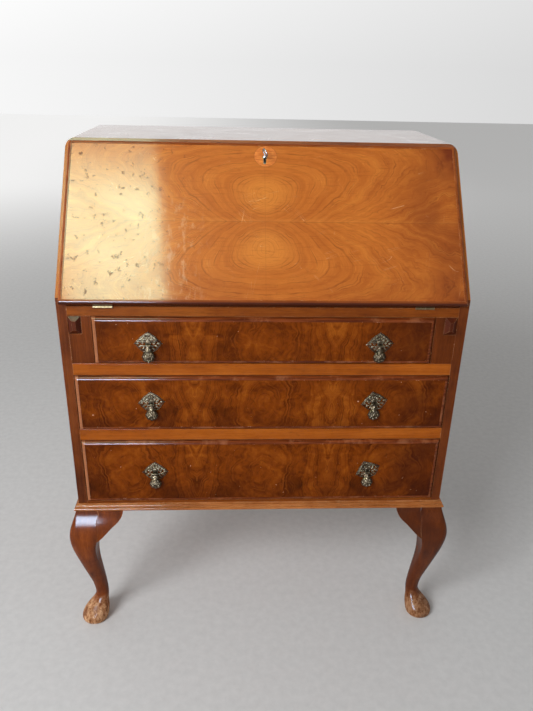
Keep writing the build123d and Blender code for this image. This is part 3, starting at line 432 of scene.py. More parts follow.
def burr_figure(f, x, height, seed):
    """Burr walnut leaves, mirrored about upright seams: ovals between flames that fan upward."""
    wave = f.math("PINGPONG", f.math("ADD", x, LEAF), 2 * LEAF)
    leaf = f.join(wave, height, seed)
    drift = f.split(f.drift(leaf, 11))
    jag = f.split(f.drift(leaf, 46, 4, 0.6))
    from_eye = f.math("ABSOLUTE", f.math("SUBTRACT", wave, LEAF))
    bent = f.math("ADD", from_eye, f.math("MULTIPLY_ADD", drift[0], 0.085, f.both(jag[0], 0.009)))
    rise = f.math("ADD", height, f.math("MULTIPLY_ADD", drift[1], 0.08, f.both(jag[1], 0.012)))
    from_seam = f.math("SUBTRACT", LEAF, from_eye)
    flame = f.both(f.span(from_seam, 0.05, 0.0), f.math("MULTIPLY_ADD", rise, 0.55, 0.03))
    ring = f.vector("LENGTH", f.join(bent, f.both(rise, 0.6), 0.0))
    field = f.math("ADD", ring, flame)
    bands = f.lines(field, 40, 4, 0.6)
    thin = f.lines(field, 270, 3, 0.6)
    curl = f.noise(f.sway(leaf, 30, 0.016, 3), 42, 4, 0.62, 0.8)
    cloud = f.noise(leaf, 12, 4, 0.6)
    eyes = f.both(f.span(f.cells(f.sway(leaf, 50, 0.012), 44), 0.34, 0.08), f.span(cloud, 0.5, 0.62))
    return bands, thin, curl, cloud, eyes, from_seam


def burr_field(f, number, x, height, half_wide):
    """The burr's colour, with its thin lines and pores, darker to the ends and the foot."""
    bands, thin, curl, cloud, eyes, from_seam = burr_figure(f, x, height, 0.31 * number)
    amount = f.math("ADD", f.both(bands, 0.36), f.math("ADD", f.both(cloud, 0.36), f.both(curl, 0.28)))
    warm = f.span(from_seam, 0.05, 0.0, LEAF_WARMTH[number], LEAF_WARMTH[number] + 0.05)
    amount = f.math("ADD", amount, warm)
    colour = f.ramp(
        amount,
        (0.36, tone(58, 24, 4)),
        (0.46, tone(94, 40, 6)),
        (0.54, tone(122, 56, 10)),
        (0.66, tone(158, 84, 22)),
    )
    combed = f.span(f.noise(f.join(x, height, 3.0 + number), 17, 2), 0.4, 0.62, 0.1, 1.0)
    colour = f.mix(f.both(f.span(thin, 0.46, 0.3, 0.0, 0.55), combed), colour, tone(60, 24, 6))
    colour = f.mix(f.both(f.span(thin, 0.56, 0.72, 0.0, 0.3), combed), colour, tone(172, 92, 32))
    colour = f.mix(f.both(eyes, 0.45), colour, tone(74, 30, 14))
    right_end = f.span(x, half_wide - 0.16, half_wide - 0.02, 0.0, 0.6)
    left_end = f.span(x, 0.09 - half_wide, -half_wide, 0.0, 0.35)
    end = f.math("ADD", right_end, left_end)
    foot = f.span(height, -0.01, -0.065, 0.0, 0.3)
    shade = f.both(f.math("ADD", end, foot), f.span(f.noise(f.place, 13, 3), 0.3, 0.6, 0.3, 1.1))
    colour = f.mix(shade, colour, tone(58, 22, 12))
    pores = f.span(f.noise(f.scaled(f.place, 1, 1, 0.12), 900, 2), 0.6, 0.72)
    colour = f.mix(f.both(pores, 0.4), colour, tone(42, 18, 10))
    flecks = f.span(f.noise(f.place, 150, 2, 0.5), 0.76, 0.78)
    colour = f.mix(f.both(flecks, 0.8), colour, tone(222, 176, 138))
    return colour, thin, pores


def drawer_moulding(f, x, half_wide):
    """The moulding's darker, worn and chipped wood, with a painted highlight along its left side."""
    strip = f.noise(f.scaled(f.place, 0.06, 1, 1), 260, 3)
    moulding = f.ramp(strip, (0.35, tone(84, 34, 12)), (0.65, tone(132, 64, 26)))
    worn = f.span(f.noise(f.place, 24, 4, 0.7), 0.5, 0.7, 0.0, 0.35)
    # Painted highlight on the left side, where the light falls, mixed into the same pale colour as the real
    # worn patches.
    lit_left_side = f.span(x, LIPPING - half_wide + 0.5 * MM, LIPPING - half_wide, 0.0, 0.55)
    moulding = f.mix(f.math("MAXIMUM", worn, lit_left_side), moulding, tone(186, 122, 82))
    chipped = f.both(f.span(f.noise(f.place, 70, 4, 0.72), 0.6, 0.64), f.edges(1.4 * MM))
    return f.mix(chipped, moulding, tone(226, 182, 138))


def veneer_drawer(number):
    """A drawer front's burr field inside its polished moulding, and the plain wood behind."""
    low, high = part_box(f"drawer_{number}_front")
    f = Finish(f"burr_veneer_{number}")
    x, y, z = f.split(f.place)
    height = f.math("SUBTRACT", z, (low.z + high.z) / 2)
    colour, thin, pores = burr_field(f, number, x, height, high.x)
    half_wide = high.x - LIPPING
    half_high = (high.z - low.z) / 2 - LIPPING
    inside_x = f.span(f.math("ABSOLUTE", x), half_wide + 0.2 * MM, half_wide - 0.1 * MM)
    inside_z = f.span(f.math("ABSOLUTE", height), half_high + 0.2 * MM, half_high - 0.1 * MM)
    field = f.both(inside_x, inside_z)
    colour = f.mix(field, drawer_moulding(f, x, high.x), colour)
    behind = f.span(y, CASE_FRONT + 0.5 * MM, CASE_FRONT + 2 * MM)
    grain = f.noise(f.scaled(f.place, 0.05, 1, 1), 90, 4)
    plain = f.ramp(grain, (0.3, tone(120, 74, 44)), (0.7, tone(164, 110, 70)))
    colour = f.mix(behind, colour, plain)
    smears = f.noise(f.place, 14, 4, 0.65)
    relief = f.math("ADD", f.both(smears, 0.6), f.both(thin, 0.2))
    relief = f.math("SUBTRACT", relief, f.both(pores, 0.5))
    rough = f.span(smears, 0.3, 0.7, 0.3, 0.44)
    more = dict(POLISH)
    more["Coat_Weight"] = f.math("MULTIPLY_ADD", field, -0.3, 0.42)
    return f.finish(colour, relief, 0.1 * MM, rough, **more)


# ---------------------------------------------------------------- metals
def metal(name, dark, bright, rough=(0.3, 0.5), crust=0.5):
    """Cast or drawn metal, dark in its hollows and rubbed bright on its high edges."""
    f = Finish(name)
    mottle = f.noise(f.place, 420, 4, 0.65)
    cloud = f.noise(f.place, 90, 3)
    rubbed = f.edges(0.7 * MM)
    shine = f.math("MAXIMUM", f.both(rubbed, 0.85), f.span(mottle, 0.54, 0.74, 0.0, 0.6))
    colour = f.mix(shine, dark, bright)
    clouded = f.both(f.span(cloud, 0.45, 0.65), crust)
    grime = f.math("MAXIMUM", clouded, f.both(f.hollows(2.2 * MM), 1.4 * crust), clamp=True)
    colour = f.mix(grime, colour, tone(34, 27, 18))
    surface = f.span(mottle, 0.3, 0.7, rough[1], rough[0])
    return f.finish(
        colour, mottle, 0.06 * MM, surface, ease=0.25 * MM, Metallic=0.92, Specular_IOR_Level=0.5,
    )


CASE_TONES = ((62, 25, 8), (104, 48, 16), (138, 72, 28))
RAIL_TONES = ((116, 52, 10), (162, 82, 18), (190, 106, 32))
TOP_RAIL_TONES = ((88, 36, 6), (128, 62, 14), (156, 84, 24))
TOP_TONES = ((96, 46, 20), (138, 74, 32), (170, 100, 50))
FACING_TONES = ((60, 24, 5), (96, 42, 9), (126, 60, 16))
LIPPING_TONES = ((104, 46, 18), (140, 68, 26), (172, 94, 42))
# The base moulding is given paler tones than the other walnut, a painted highlight standing in for the
# light on its reeds.
MOULDING_LIT_TONES = ((116, 62, 24), (168, 98, 46), (212, 146, 86))
LEG_TONES = ((64, 25, 6), (116, 52, 12), (156, 78, 22))
LOPER_TONES = ((50, 18, 8), (80, 32, 14), (112, 52, 26))
PLAIN_TONES = ((132, 88, 54), (168, 120, 78), (196, 150, 104))
PLAIN_LEVEL_TONES = ((132, 88, 54), (166, 118, 76), (192, 146, 100))
NEST_TONES = ((110, 54, 26), (150, 82, 42), (180, 108, 60))
NEST_FRONT_TONES = ((104, 48, 20), (150, 78, 34), (184, 108, 52))
finishes = {
    "case_upright": wood("walnut_upright", "z", CASE_TONES, lit_slant=True),
    "case_level": wood("walnut_level", "x", RAIL_TONES, seed=2.0),
    "top_rail": wood("walnut_top_rail", "x", TOP_RAIL_TONES, seed=2.7),
    "top": wood("walnut_top", "x", TOP_TONES, seed=5.0, gloss=TABLE_GLOSS, relief=0.02 * MM),
    "facing": wood("walnut_facing", "z", FACING_TONES, seed=3.0),
    "lipping": wood("walnut_lipping", "x", LIPPING_TONES, seed=4.0, gloss=BRIGHT_POLISH, shaded_lip=True),
    "moulding": wood("walnut_moulding", "x", MOULDING_LIT_TONES, 1.0, 6.0, BRIGHT_POLISH),
    "moulding_side": wood("walnut_moulding_side", "y", MOULDING_LIT_TONES, 1.0, 6.5, BRIGHT_POLISH),
    "leg": wood("walnut_leg", "z", LEG_TONES, 0.9, 7.0, BRIGHT_POLISH, ease=0.12 * MM, feet_scuffed_and_shaded=True),
    "loper": wood("walnut_loper", "z", LOPER_TONES, 0.8, 8.0),
    "plain": wood("plain_wood", "y", PLAIN_TONES, 0.3, 9.0, BARE, 0.62),
    "plain_level": wood("plain_wood_level", "x", PLAIN_LEVEL_TONES, 0.3, 10.0, BARE, 0.62),
    "nest": wood("nest_wood", "y", NEST_TONES, 0.4, 11.0, THIN_POLISH, 0.44),
    "nest_front": wood("nest_front", "x", NEST_FRONT_TONES, 0.4, 12.0),
    "fall": veneer_fall(),
    "pull": metal("pull_brass", tone(66, 52, 36), tone(220, 196, 158), crust=0.66),
    "brass": metal("hardware_brass", tone(128, 108, 74), tone(222, 206, 168), rough=(0.3, 0.45), crust=0.2),
    "steel": metal("lock_steel", tone(112, 108, 102), tone(176, 172, 166), rough=(0.34, 0.5), crust=0.3),
    "key": metal("key_nickel", tone(150, 148, 144), tone(238, 236, 230), rough=(0.16, 0.3), crust=0.12),
}

NODE_FINISHES = {
    "case_upright": ("side_left", "side_right"),
    "case_level": ("drawer_rail_lower", "drawer_rail_upper", "writing_bed"),
    "top_rail": ("top_rail", "bottom_board"),
    "top": ("top_board",),
    "facing": ("loper_facing_left", "loper_facing_right"),
    "lipping": ("fall_lippings",),
    "moulding": ("base_moulding_front",),
    "moulding_side": ("base_moulding_left", "base_moulding_right"),
    "leg": (
        "leg_front_left", "leg_front_right", "leg_rear_left", "leg_rear_right",
        "knee_brackets_front", "knee_brackets_rear",
    ),
    "loper": ("loper_left", "loper_right"),
    "plain": (
        "loper_guides", "glue_blocks", "drawer_runners_lower", "drawer_runners_upper",
        "drawer_1_box", "drawer_2_box", "drawer_3_box",
    ),
    "plain_level": ("back_panel", "drawer_1_bottom", "drawer_2_bottom", "drawer_3_bottom"),
    "nest": ("nest_uprights", "nest_shelf", "nest_top"),
    "nest_front": ("nest_drawer_left", "nest_drawer_right"),
    "fall": ("fall_panel",),
    "brass": ("hinge_leaves_case", "hinge_leaves_fall", "hinge_pins", "lock_striker", "keyhole_escutcheon"),
    "steel": ("lock_case", "lock_bolt", "leg_screws"),
    "key": ("fall_key",),
    "pull": tuple(
        f"drawer_{n}_{part}" for n in (1, 2, 3) for part in ("pull_plates", "pendant_left", "pendant_right")
    ),
}
for number in (1, 2, 3):
    finishes[f"drawer_{number}"] = veneer_drawer(number)
    NODE_FINISHES[f"drawer_{number}"] = (f"drawer_{number}_front",)


def dress(obj, finish):
    """Gives every material slot of an object one finish."""
    if not obj.material_slots:
        obj.data.materials.append(finishes[finish])
    for material_slot in obj.material_slots:
        material_slot.link = "OBJECT"
        material_slot.material = finishes[finish]


for finish_name, members in NODE_FINISHES.items():
    for member in members:
        dress(nodes[member], finish_name)


# ---------------------------------------------------------------- fine metalwork
OUTWARD = (0, 0, 1)
DOWN = (0, -1, 0)
SIDEWAYS = (1, 0, 0)


class Stock:
    """A mesh in the making, in millimetres, about its own origin: x across, y up, z outward."""

    def __init__(self):
        self.mesh = bmesh.new()

    def lathe(self, at, axis, profile, segments=40, squash=1.0, flutes=0, deep=0.0):
        """Rings of (along, radius) about an axis: squash narrows them one way, flutes ripple them."""
        axis = Vector(axis).normalized()
        level = axis.orthogonal() if abs(axis.x) > 0.5 else axis.cross(ACROSS).cross(axis)
        first = level.normalized()
        second = axis.cross(first)
        rings = []
        for along, radius in profile:
            ring = []
            for step in range(segments):
                turn = 2 * math.pi * step / segments
                reach = radius * (1 + deep * math.cos(flutes * turn))
                spot = first * reach * math.cos(turn) + second * reach * squash * math.sin(turn)
                ring.append(self.mesh.verts.new(Vector(at) + axis * along + spot))
            rings.append(ring)
        self.skin(rings)

    def skin(self, rings):
        """Faces between rings of the same count, with both ends closed."""
        for lower, upper in zip(rings, rings[1:]):
            for step in range(len(lower)):
                after = (step + 1) % len(lower)
                self.mesh.faces.new((lower[step], lower[after], upper[after], upper[step]))
        self.mesh.faces.new(rings[0][::-1])
        self.mesh.faces.new(rings[-1])

    def tube(self, points, radius, segments=8, closed=False, taper=0.0):
        """A round bar along points, closed on itself or with tapering ends."""
        points = [Vector(p) for p in points]
        count = len(points)
        rings = []
        for index, point in enumerate(points):
            before = points[index - 1] if closed or index else point
            after = points[(index + 1) % count] if closed or index < count - 1 else point
            along = (after - before).normalized()
            side = along.cross(Vector((0.01, 0.02, 1))).normalized()
            top = side.cross(along)
            share = abs(2 * index / max(count - 1, 1) - 1)
            reach = radius * (1 - taper * share ** 2)
            ring = []
            for step in range(segments):
                turn = 2 * math.pi * step / segments
                spot = side * reach * math.cos(turn) + top * reach * math.sin(turn)
                ring.append(self.mesh.verts.new(point + spot))
            rings.append(ring)
        if not closed:
            self.skin(rings)
            return
        for lower, upper in zip(rings, rings[1:] + rings[:1]):
            for step in range(segments):
                after = (step + 1) % segments
                self.mesh.faces.new((lower[step], lower[after], upper[after], upper[step]))

    def pierced(self, outline, holes, thickness, round_edge):
        """A flat plate with holes and rounded edges, its back at height 0."""
        curve = bpy.data.curves.new("plate", "CURVE")
        curve.dimensions = "2D"
        curve.fill_mode = "BOTH"
        curve.extrude = thickness / 2 - round_edge
        curve.bevel_depth = round_edge
        curve.bevel_resolution = 2
        for path in [outline, *holes]:
            spline = curve.splines.new("POLY")
            spline.points.add(len(path) - 1)
            for point, (x, y) in zip(spline.points, path):
                point.co = (x, y, 0, 1)
            spline.use_cyclic_u = True
        holder = bpy.data.objects.new("plate", curve)
        flat = bpy.data.meshes.new_from_object(holder)
        flat.transform(Matrix.Translation((0, 0, thickness / 2)))
        self.mesh.from_mesh(flat)
        bpy.data.objects.remove(holder)
        bpy.data.curves.remove(curve)
        bpy.data.meshes.remove(flat)

    def bead(self, x, y, z, radius, high, petals=0):
        """A small raised boss, round or petalled."""
        profile = [(high * math.sin(t), radius * math.cos(t)) for t in (0, 0.35, 0.7, 1.05, 1.35)]
        deep = 0.16 if petals else 0
        self.lathe((x, y, z), OUTWARD, [(-0.6, radius), *profile], 16, flutes=petals, deep=deep)

    def dome(self, rise, reach):
        """Lifts the middle of everything made so far, as in a plate pressed over a form."""
        for vert in self.mesh.verts:
            share = min(1.0, vert.co.xy.length / reach)
            vert.co.z += rise * (1 - share * share)

    def piece(self, name, finish, body, at, x_axis, y_axis, z_axis, stands_for=()):
        """Places the mesh on three axes, and hands it to its body in place of its CAD nodes."""
        place = Matrix((x_axis, y_axis, z_axis)).transposed().to_4x4()
        place = Matrix.Translation(at) @ place @ Matrix.Scale(MM, 4)
        bmesh.ops.transform(self.mesh, matrix=place, verts=self.mesh.verts)
        bmesh.ops.remove_doubles(self.mesh, verts=self.mesh.verts, dist=1e-6)
        bmesh.ops.recalc_face_normals(self.mesh, faces=self.mesh.faces)
        mesh = bpy.data.meshes.new(name)
        self.mesh.to_mesh(mesh)
        self.mesh.free()
        mesh.shade_smooth()
        mesh.set_sharp_from_angle(angle=math.radians(38))
        made = bpy.data.objects.new(name, mesh)
        bpy.context.scene.collection.objects.link(made)
        made.data.materials.append(finishes[finish])
        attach(made, body)
        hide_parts(*stands_for)


def oval(x, y, wide, high, turn, points=12):
    """An oval outline, turned about its own middle."""
    turn = math.radians(turn)
    spots = []
    for step in range(points):
        angle = 2 * math.pi * step / points
        across, up = wide * math.cos(angle), high * math.sin(angle)
        turned_x = x + across * math.cos(turn) - up * math.sin(turn)
        turned_y = y + across * math.sin(turn) + up * math.cos(turn)
        spots.append((turned_x, turned_y))
    return spots


# One half of the plate's outline, from its top to its foot, and the lobes along each side of it.
KITE = ((0, 20.0), (12.5, 11.0), (24.6, -1.6), (17.4, -10.6), (10.4, -17.6), (0, -18.6))
LOBES = (5, 5, 3, 3, 4)
# Openings of the pierced work on one half: x, y, half width, half height, turn in degrees.
OPENINGS = (
    (3.6, 12.4, 1.3, 2.6, -38),
    (8.6, 8.2, 1.3, 2.7, -44),
    (13.6, 3.6, 1.3, 2.7, -50),
    (18.6, -1.6, 1.2, 2.2, -80),
    (14.3, -6.8, 1.3, 2.5, -120),
    (9.4, -12.0, 1.2, 2.4, -132),
    (6.6, 4.4, 1.2, 2.2, -30),
    (10.6, -1.4, 1.3, 2.3, -70),
    (7.4, -7.0, 1.1, 1.9, -120),
    (4.0, -13.6, 1.1, 1.5, 90),
)
# Raised beads on one half: x, y, radius.
BEADS = (
    (0, 16.2, 1.5), (3.2, 14.8, 1.0), (6.6, 12.4, 1.2), (8.4, 10.6, 0.9), (11.6, 8.4, 1.2),
    (14.0, 5.9, 0.9), (16.8, 3.6, 1.2), (19.0, 1.2, 0.9), (21.8, -1.4, 1.4), (19.4, -5.2, 1.0),
    (17.0, -8.6, 1.2), (14.0, -10.8, 0.9), (12.4, -13.8, 1.1), (9.2, -15.6, 0.9), (5.6, -16.2, 1.1),
    (2.0, -16.8, 0.9), (2.4, 9.0, 1.3), (7.2, 1.0, 1.3), (12.4, 0.6, 1.2), (16.0, -3.2, 1.1),
    (10.8, -6.4, 1.2), (3.0, -10.6, 1.2), (6.8, -11.0, 0.9),
)
# Scrolls on one half: x, y, radius, where each starts and ends, in degrees.
SCROLLS = ((7.6, 5.6, 3.0, 200, 20), (12.2, 1.2, 3.1, 190, 10), (9.0, -8.4, 3.2, 60, 250))


def scalloped():
    """The kite's outline with a run of small lobes along each side."""
    half = []
    for (x0, y0), (x1, y1), lobes in zip(KITE, KITE[1:], LOBES):
        length = math.hypot(x1 - x0, y1 - y0)
        aside = ((y0 - y1) / length, (x1 - x0) / length)
        for step in range(lobes * 5):
            share = step / (lobes * 5)
            out = 0.9 - 1.5 * abs(math.sin(math.pi * lobes * share))
            x = x0 + (x1 - x0) * share + aside[0] * out
            y = y0 + (y1 - y0) * share + aside[1] * out
            half.append((x, y))
    half.append(KITE[-1])
    return half + [(-x, y) for x, y in half[-2:0:-1]]


PLATE = 1.6  # thickness of the plate's web
PIVOT_PROUD = 6.5  # the drop's pin, out from the drawer's face
PIVOT_DROP = 4.0  # the same pin, down from the stud
STUD_RADIUS = 2.0
STUD_INNER_END = -24.0
NUT_AT = -22.6
NUT_RADIUS = 4.6
RIM_RADIUS = 5.0  # the raised ring about the stud
LUG_INNER, LUG_OUTER = 3.1, 5.0  # the lugs' faces, from the middle
LUG_RADIUS = 2.5
# How far each loose plate has settled round from upright, in degrees.
PLATE_TURN = {
    (1, "left"): 0, (1, "right"): 3,
    (2, "left"): 4, (2, "right"): 12,
    (3, "left"): 1.5, (3, "right"): 25,
}


def plate_work(stock, turn):
    """The pierced and beaded plate, turned about its stud."""
    holes = []
    for x, y, wide, high, tilt in OPENINGS:
        holes.append(oval(x, y, wide, high, tilt))
        holes.append(oval(-x, y, wide, high, -tilt))
    stock.pierced(scalloped(), holes, PLATE, 0.45)
    for x, y, radius in BEADS:
        petals = 5 if radius > 1.15 else 0
        for side in (1, -1) if x else (1,):
            stock.bead(side * x, y, PLATE - 0.1, radius, 0.95 * radius, petals)
    for side in (1, -1):
        for x, y, reach, start, end in SCROLLS:
            arc = []
            for step in range(12):
                angle = math.radians(start + (end - start) * step / 11)
                radius = reach * (1 - 0.045 * step)
                across, up = radius * math.cos(angle), radius * math.sin(angle)
                arc.append((side * (x + across), y + up, PLATE + 0.1))
            stock.tube(arc, 0.62, taper=0.5)
    turns = [2 * math.pi * step / 28 for step in range(28)]
    rim = [(RIM_RADIUS * math.cos(a), RIM_RADIUS * math.sin(a), PLATE + 0.1) for a in turns]
    stock.tube(rim, 0.7, closed=True)
    stock.dome(0.6, 26)
    settle = Matrix.Rotation(math.radians(turn), 3, "Z")
    bmesh.ops.rotate(stock.mesh, verts=stock.mesh.verts, cent=(0, 0, 0), matrix=settle)


def plate_lug(stock, cheek):
    """One of the two lugs that hold the drop's pin: a rounded tongue with eased edges."""
    low, high = sorted((cheek * LUG_INNER, cheek * LUG_OUTER))
    outline = [(0.8, 2.6), (PIVOT_PROUD, LUG_RADIUS)]
    for turn in (0.4, 0.8, 1.2, 1.57, 1.95, 2.35, 2.75):
        outline.append((PIVOT_PROUD + LUG_RADIUS * math.sin(turn), LUG_RADIUS * math.cos(turn)))
    outline += [(PIVOT_PROUD, -LUG_RADIUS), (0.8, -2.6)]
    rings = []
    for x, inset in ((low, 0.3), (low + 0.35, 0.0), (high - 0.35, 0.0), (high, 0.3)):
        ring = []
        for out, up in outline:
            spot = (x, up * (1 - inset / LUG_RADIUS) - PIVOT_DROP, out - inset)
            ring.append(stock.mesh.verts.new(spot))
        rings.append(ring)
    stock.skin(rings)


def pull_plate(number, side, pull, face):
    """One plate with its stud and nut, its two lugs and the pin that the drop hangs from."""
    stock = Stock()
    plate_work(stock, PLATE_TURN[number, side])
    stud = [(0, 1.6), (0.5, STUD_RADIUS), (25.2, STUD_RADIUS), (25.6, 4.2), (26.6, 4.0), (27.0, 2.5)]
    stock.lathe((0, 0, STUD_INNER_END), OUTWARD, stud, 24)
    nut = [(0, NUT_RADIUS - 0.4), (0.4, NUT_RADIUS), (2.6, NUT_RADIUS), (3.0, NUT_RADIUS - 0.4)]
    stock.lathe((0, 0, NUT_AT), OUTWARD, nut, 6)
    for cheek in (-1, 1):
        plate_lug(stock, cheek)
    half_pin = [(5.05, 1.2), (5.3, 1.8), (5.9, 1.4), (6.0, 0.7)]
    pin = [(-along, radius) for along, radius in reversed(half_pin)] + half_pin
    stock.lathe((0, -PIVOT_DROP, PIVOT_PROUD), SIDEWAYS, pin, 20)
    at = Vector((pull.x, face, pull.z))
    stock.piece(
        f"pull_plate_{number}_{side}", "pull", f"drawer_{number}", at,
        ACROSS, UP, FRONT, [f"drawer_{number}_pull_plates"],
    )


BALL = 12.0  # radius of the drop's flower ball
BALL_HALF_DEEP = 4.1
BALL_BACK = 0.72  # how deep the ball's back is, as a share of its front
BALL_DOWN = 22.5  # its middle, down from the pin


def bump(share, at, width, power=2):
    """A smooth bump of height 1 about a place."""
    return math.exp(-(((share - at) / width) ** power))


def rosette_depth(share, turn):
    """The flower's depth: eight outer petals, eight inner ones, a groove and a boss."""
    deep = BALL_HALF_DEEP * math.sqrt(max(0.0, 1 - share**2.4))
    outer = 0.8 * math.cos(8 * turn) * bump(share, 0.72, 0.17)
    inner = 0.7 * math.cos(8 * turn + math.pi) * bump(share, 0.4, 0.12)
    groove = -0.7 * bump(share, 0.56, 0.05) + 0.9 * bump(share, 0.0, 0.2, 4)
    return max(0.0, deep + (outer + inner + groove) * (share < 0.97))


def rosette(stock, middle):
    """A flattened ball cast as a flower on both of its faces."""
    steps, turns = 14, 64
    for side in (1, -BALL_BACK):
        rings = []
        for step in range(1, steps + 1):
            share = step / steps
            ring = []
            for index in range(turns):
                turn = 2 * math.pi * index / turns
                reach = BALL * share * (1 + 0.035 * share * math.cos(8 * turn) - 0.03)
                out = side * rosette_depth(share, turn)
                spot = (reach * math.cos(turn), middle + reach * math.sin(turn), out)
                ring.append(stock.mesh.verts.new(spot))
            rings.append(ring)
        for inside, outside in zip(rings, rings[1:]):
            for index in range(turns):
                after = (index + 1) % turns
                stock.mesh.faces.new((inside[index], inside[after], outside[after], outside[index]))
        stock.mesh.faces.new(rings[0])


def pendant(number, side, pivot):
    """The drop: an eye on the pin, a fluted neck, two collars and the flower ball."""
    stock = Stock()
    stock.lathe((0, 0, 0), SIDEWAYS, [(-2.7, 2.2), (-2.3, 2.8), (2.3, 2.8), (2.7, 2.2)], 24)
    neck = [(1.2, 2.1), (3.6, 2.3), (4.3, 2.6), (5.8, 4.9), (7.2, 6.4), (8.4, 6.7), (9.1, 5.6)]
    stock.lathe((0, 0, 0), DOWN, neck, 48, squash=0.42, flutes=8, deep=0.09)
    collar = [(8.8, 4.4), (9.3, 5.2), (10.0, 5.2), (10.4, 4.2), (11.2, 3.9), (12.2, 3.6)]
    stock.lathe((0, 0, 0), DOWN, collar, 32, squash=0.56)
    rosette(stock, -BALL_DOWN)
    stock.piece(
        f"pull_drop_{number}_{side}", "pull", f"drop_{number}_{side}", pivot,
        ACROSS, UP, FRONT, [f"drawer_{number}_pendant_{side}"],
    )


def pulls():
    """The six drop pulls, each at its joint's own place."""
    for number in (1, 2, 3):
        for side in SIDES:
            pivot = Vector(joints[f"drop_{number}_{side}_swing"]["pos_m"])
            face = pivot.y + PIVOT_PROUD * MM
            pull_plate(number, side, pivot + UP * PIVOT_DROP * MM, face)
            pendant(number, side, pivot)


BOW_TURN = 30  # the key's ring bow, turned from upright, in degrees
BOW_WIDE, BOW_HIGH = 7.4, 6.6  # its half width and half height
BOW_OUT = 17.0  # its middle, out from the joint's own place


def key():
    """The key in the lock: an oval ring bow, turned collars, shank and a warded bit."""
    stock = Stock()
    shank = [
        (-14.5, 1.5), (-14.0, 2.0), (2.6, 2.0), (3.2, 3.0), (4.4, 3.1), (5.0, 2.1), (6.2, 2.0), (6.8, 2.8),
        (7.6, 2.8), (8.2, 2.0), (9.6, 1.9), (10.6, 1.4),
    ]
    stock.lathe((0, 0, 0), OUTWARD, shank, 28)
    turn = math.radians(BOW_TURN)
    wide = Vector((math.sin(turn), -math.cos(turn), 0))
    bow = []
    for step in range(36):
        angle = 2 * math.pi * step / 36
        out = Vector((0, 0, BOW_OUT - BOW_HIGH * math.cos(angle)))
        bow.append(wide * BOW_WIDE * math.sin(angle) + out)
    stock.tube(bow, 1.35, 12, closed=True)
    bit = (
        (-1.6, -13.6), (-7.4, -13.6), (-7.4, -12.2), (-5.6, -12.2),
        (-5.6, -11.2), (-7.4, -11.2), (-7.4, -9.4), (-1.6, -9.4),
    )
    stock.skin([[stock.mesh.verts.new((x, up, out)) for up, out in bit] for x in (-1.0, 1.0)])
    at = KEY_AT + FALL_OUT * 0.3 * MM
    stock.piece("key", "key", "key", at, ACROSS, FALL_UP, FALL_OUT, ["fall_key"])


pulls()
key()


# ---------------------------------------------------------------- studio
GREENISH = (0.684, 1.0, 0.672)
BLUISH = (0.6, 0.77, 1.0)
NEARLY_WHITE = (0.95, 0.97, 1.0)


def grey(value):
    """An even grey, given as the linear value that a shader takes."""
    return (value, value, value, 1.0)


def studio_world():
    """White all round near the horizon, as in a pale room, and dimmer overhead."""
    world = bpy.data.worlds.new("studio")
    bpy.context.scene.world = world
    f = Nodes(world)
    x, y, z = f.split(f.add("ShaderNodeTexCoord").outputs["Generated"])
    colour = f.ramp(z, (0.0, grey(0.9)), (0.12, grey(1.0)), (0.42, grey(1.0)), (0.62, grey(0.3)))
    # The room is brighter on the window's side, and behind the desk.
    share = f.both(f.span(x, -0.9, 0.9, 1.15, 0.55, "LINEAR"), f.span(y, -0.9, 0.9, 0.8, 1.2, "LINEAR"))
    background = f.add("ShaderNodeBackground", {"Color": colour, "Strength": f.both(share, 0.9)})
    f.output("ShaderNodeOutputWorld", background)


def softbox(name, at, toward, wide, high, radiance, colour, gloss_only=False):
    """A rectangular soft light of an even brightness, which shows only in reflections if gloss_only."""
    lamp = bpy.data.lights.new(name, "AREA")
    lamp.shape = "RECTANGLE"
    lamp.size, lamp.size_y = wide, high
    lamp.energy = radiance * math.pi * wide * high
    lamp.color = colour
    holder = bpy.data.objects.new(name, lamp)
    bpy.context.scene.collection.objects.link(holder)
    holder.visible_camera = False
    holder.visible_diffuse = not gloss_only
    holder.location = at
    holder.rotation_euler = (Vector(toward) - Vector(at)).to_track_quat("-Z", "Y").to_euler()
    return lamp


def uneven(lamp, *spans):
    """Lets a lamp fade over world spans of (axis, low, high, at low, at high), with soft blotches."""
    f = Nodes(lamp)
    place = f.add("ShaderNodeNewGeometry").outputs["Position"]
    total = f.span(f.noise(place, 5.0, 2.0, 0.5), 0.35, 0.65, 0.8, 1.15)
    for axis, *ends in spans:
        total = f.both(total, f.span(f.split(place)["XYZ".index(axis)], *ends))
    f.output("ShaderNodeOutputLight", f.add("ShaderNodeEmission", {"Strength": total}))


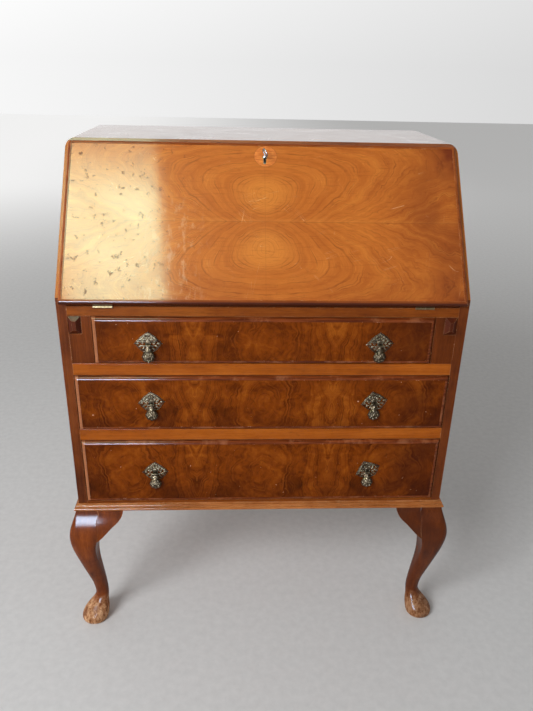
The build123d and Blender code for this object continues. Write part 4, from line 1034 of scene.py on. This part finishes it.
def studio_floor():
    """A plain, level, pale floor."""
    f = Finish("pale_floor")
    speckle = f.noise(f.place, 60, 4)
    colour = f.ramp(speckle, (0.3, tone(214, 213, 211)), (0.7, tone(222, 221, 219)))
    # Far from the desk the floor brightens toward the background, least where that is dim.
    x, y, _ = f.split(f.place)
    far = f.span(f.vector("LENGTH", f.place), 1.2, 6.0, 0.0, 0.56)
    far = f.both(far, f.both(f.span(y, -3.0, 3.0, 0.12, 1.0), f.span(x, -3.0, 3.0, 1.1, 0.3)))
    material = f.finish(
        colour, speckle, 0.1 * MM, 0.6, ease=0,
        Specular_IOR_Level=0.0, Emission_Color=grey(1.0), Emission_Strength=far,
    )
    mesh = bpy.data.meshes.new("floor")
    builder = bmesh.new()
    reach = 14.0
    signs = ((-1, -1), (1, -1), (1, 1), (-1, 1))
    builder.faces.new([builder.verts.new((sx * reach, sy * reach, 0)) for sx, sy in signs])
    builder.to_mesh(mesh)
    builder.free()
    mesh.materials.append(material)
    floor = bpy.data.objects.new("floor", mesh)
    bpy.context.scene.collection.objects.link(floor)


CAMERA_AT = (-0.0572, -1.3404, 1.1493)
CAMERA_LENS = 33.07
CAMERA_TURN = -3.119  # in degrees, as the next two are; below 0 it is to the right
CAMERA_DIP = 24.188
CAMERA_ROLL = 1.370


def photo_camera():
    """The photograph's place and angle: a little left of the middle, at standing height."""
    lens = bpy.data.cameras.new("camera")
    lens.lens = CAMERA_LENS
    lens.sensor_width = 36
    camera = bpy.data.objects.new("camera", lens)
    bpy.context.scene.collection.objects.link(camera)
    turn = Matrix.Rotation(math.radians(CAMERA_TURN), 4, "Z")
    tilt = Matrix.Rotation(math.radians(90 - CAMERA_DIP), 4, "X")
    roll = Matrix.Rotation(math.radians(CAMERA_ROLL), 4, "Z")
    camera.matrix_world = Matrix.Translation(CAMERA_AT) @ turn @ tilt @ roll
    bpy.context.scene.camera = camera
    bpy.context.scene.view_settings.view_transform = "Standard"


def lights():
    """The window's and the doorway's reflections in the polish, and one soft light for the whole desk."""
    window = softbox(
        "window", (-0.658, -1.03, 2.6), (-0.658, -1.029, 0.0), 0.54, 1.06, 20.0, GREENISH, gloss_only=True,
    )
    right_edge = ("X", -0.425, -0.39, 1.0, 0.0)
    far_end, near_end = ("Y", -0.6, -0.95, 0.22, 1.0), ("Y", -1.2, -1.5, 1.0, 0.8)
    uneven(window, right_edge, far_end, near_end)
    doorway = softbox(
        "doorway", (-0.86, -2.2, 0.7), (-0.86, 0, 0.7), 0.84, 1.0, 64.0, BLUISH, gloss_only=True,
    )
    foot = ("Z", 0.24, 0.42, 0.0, 1.0)
    uneven(doorway, foot)
    softbox("sky", (-1.9, -2.3, 2.4), (0, 0, 0.5), 1.6, 1.2, 14.0, NEARLY_WHITE)


studio_world()
studio_floor()
lights()
photo_camera()
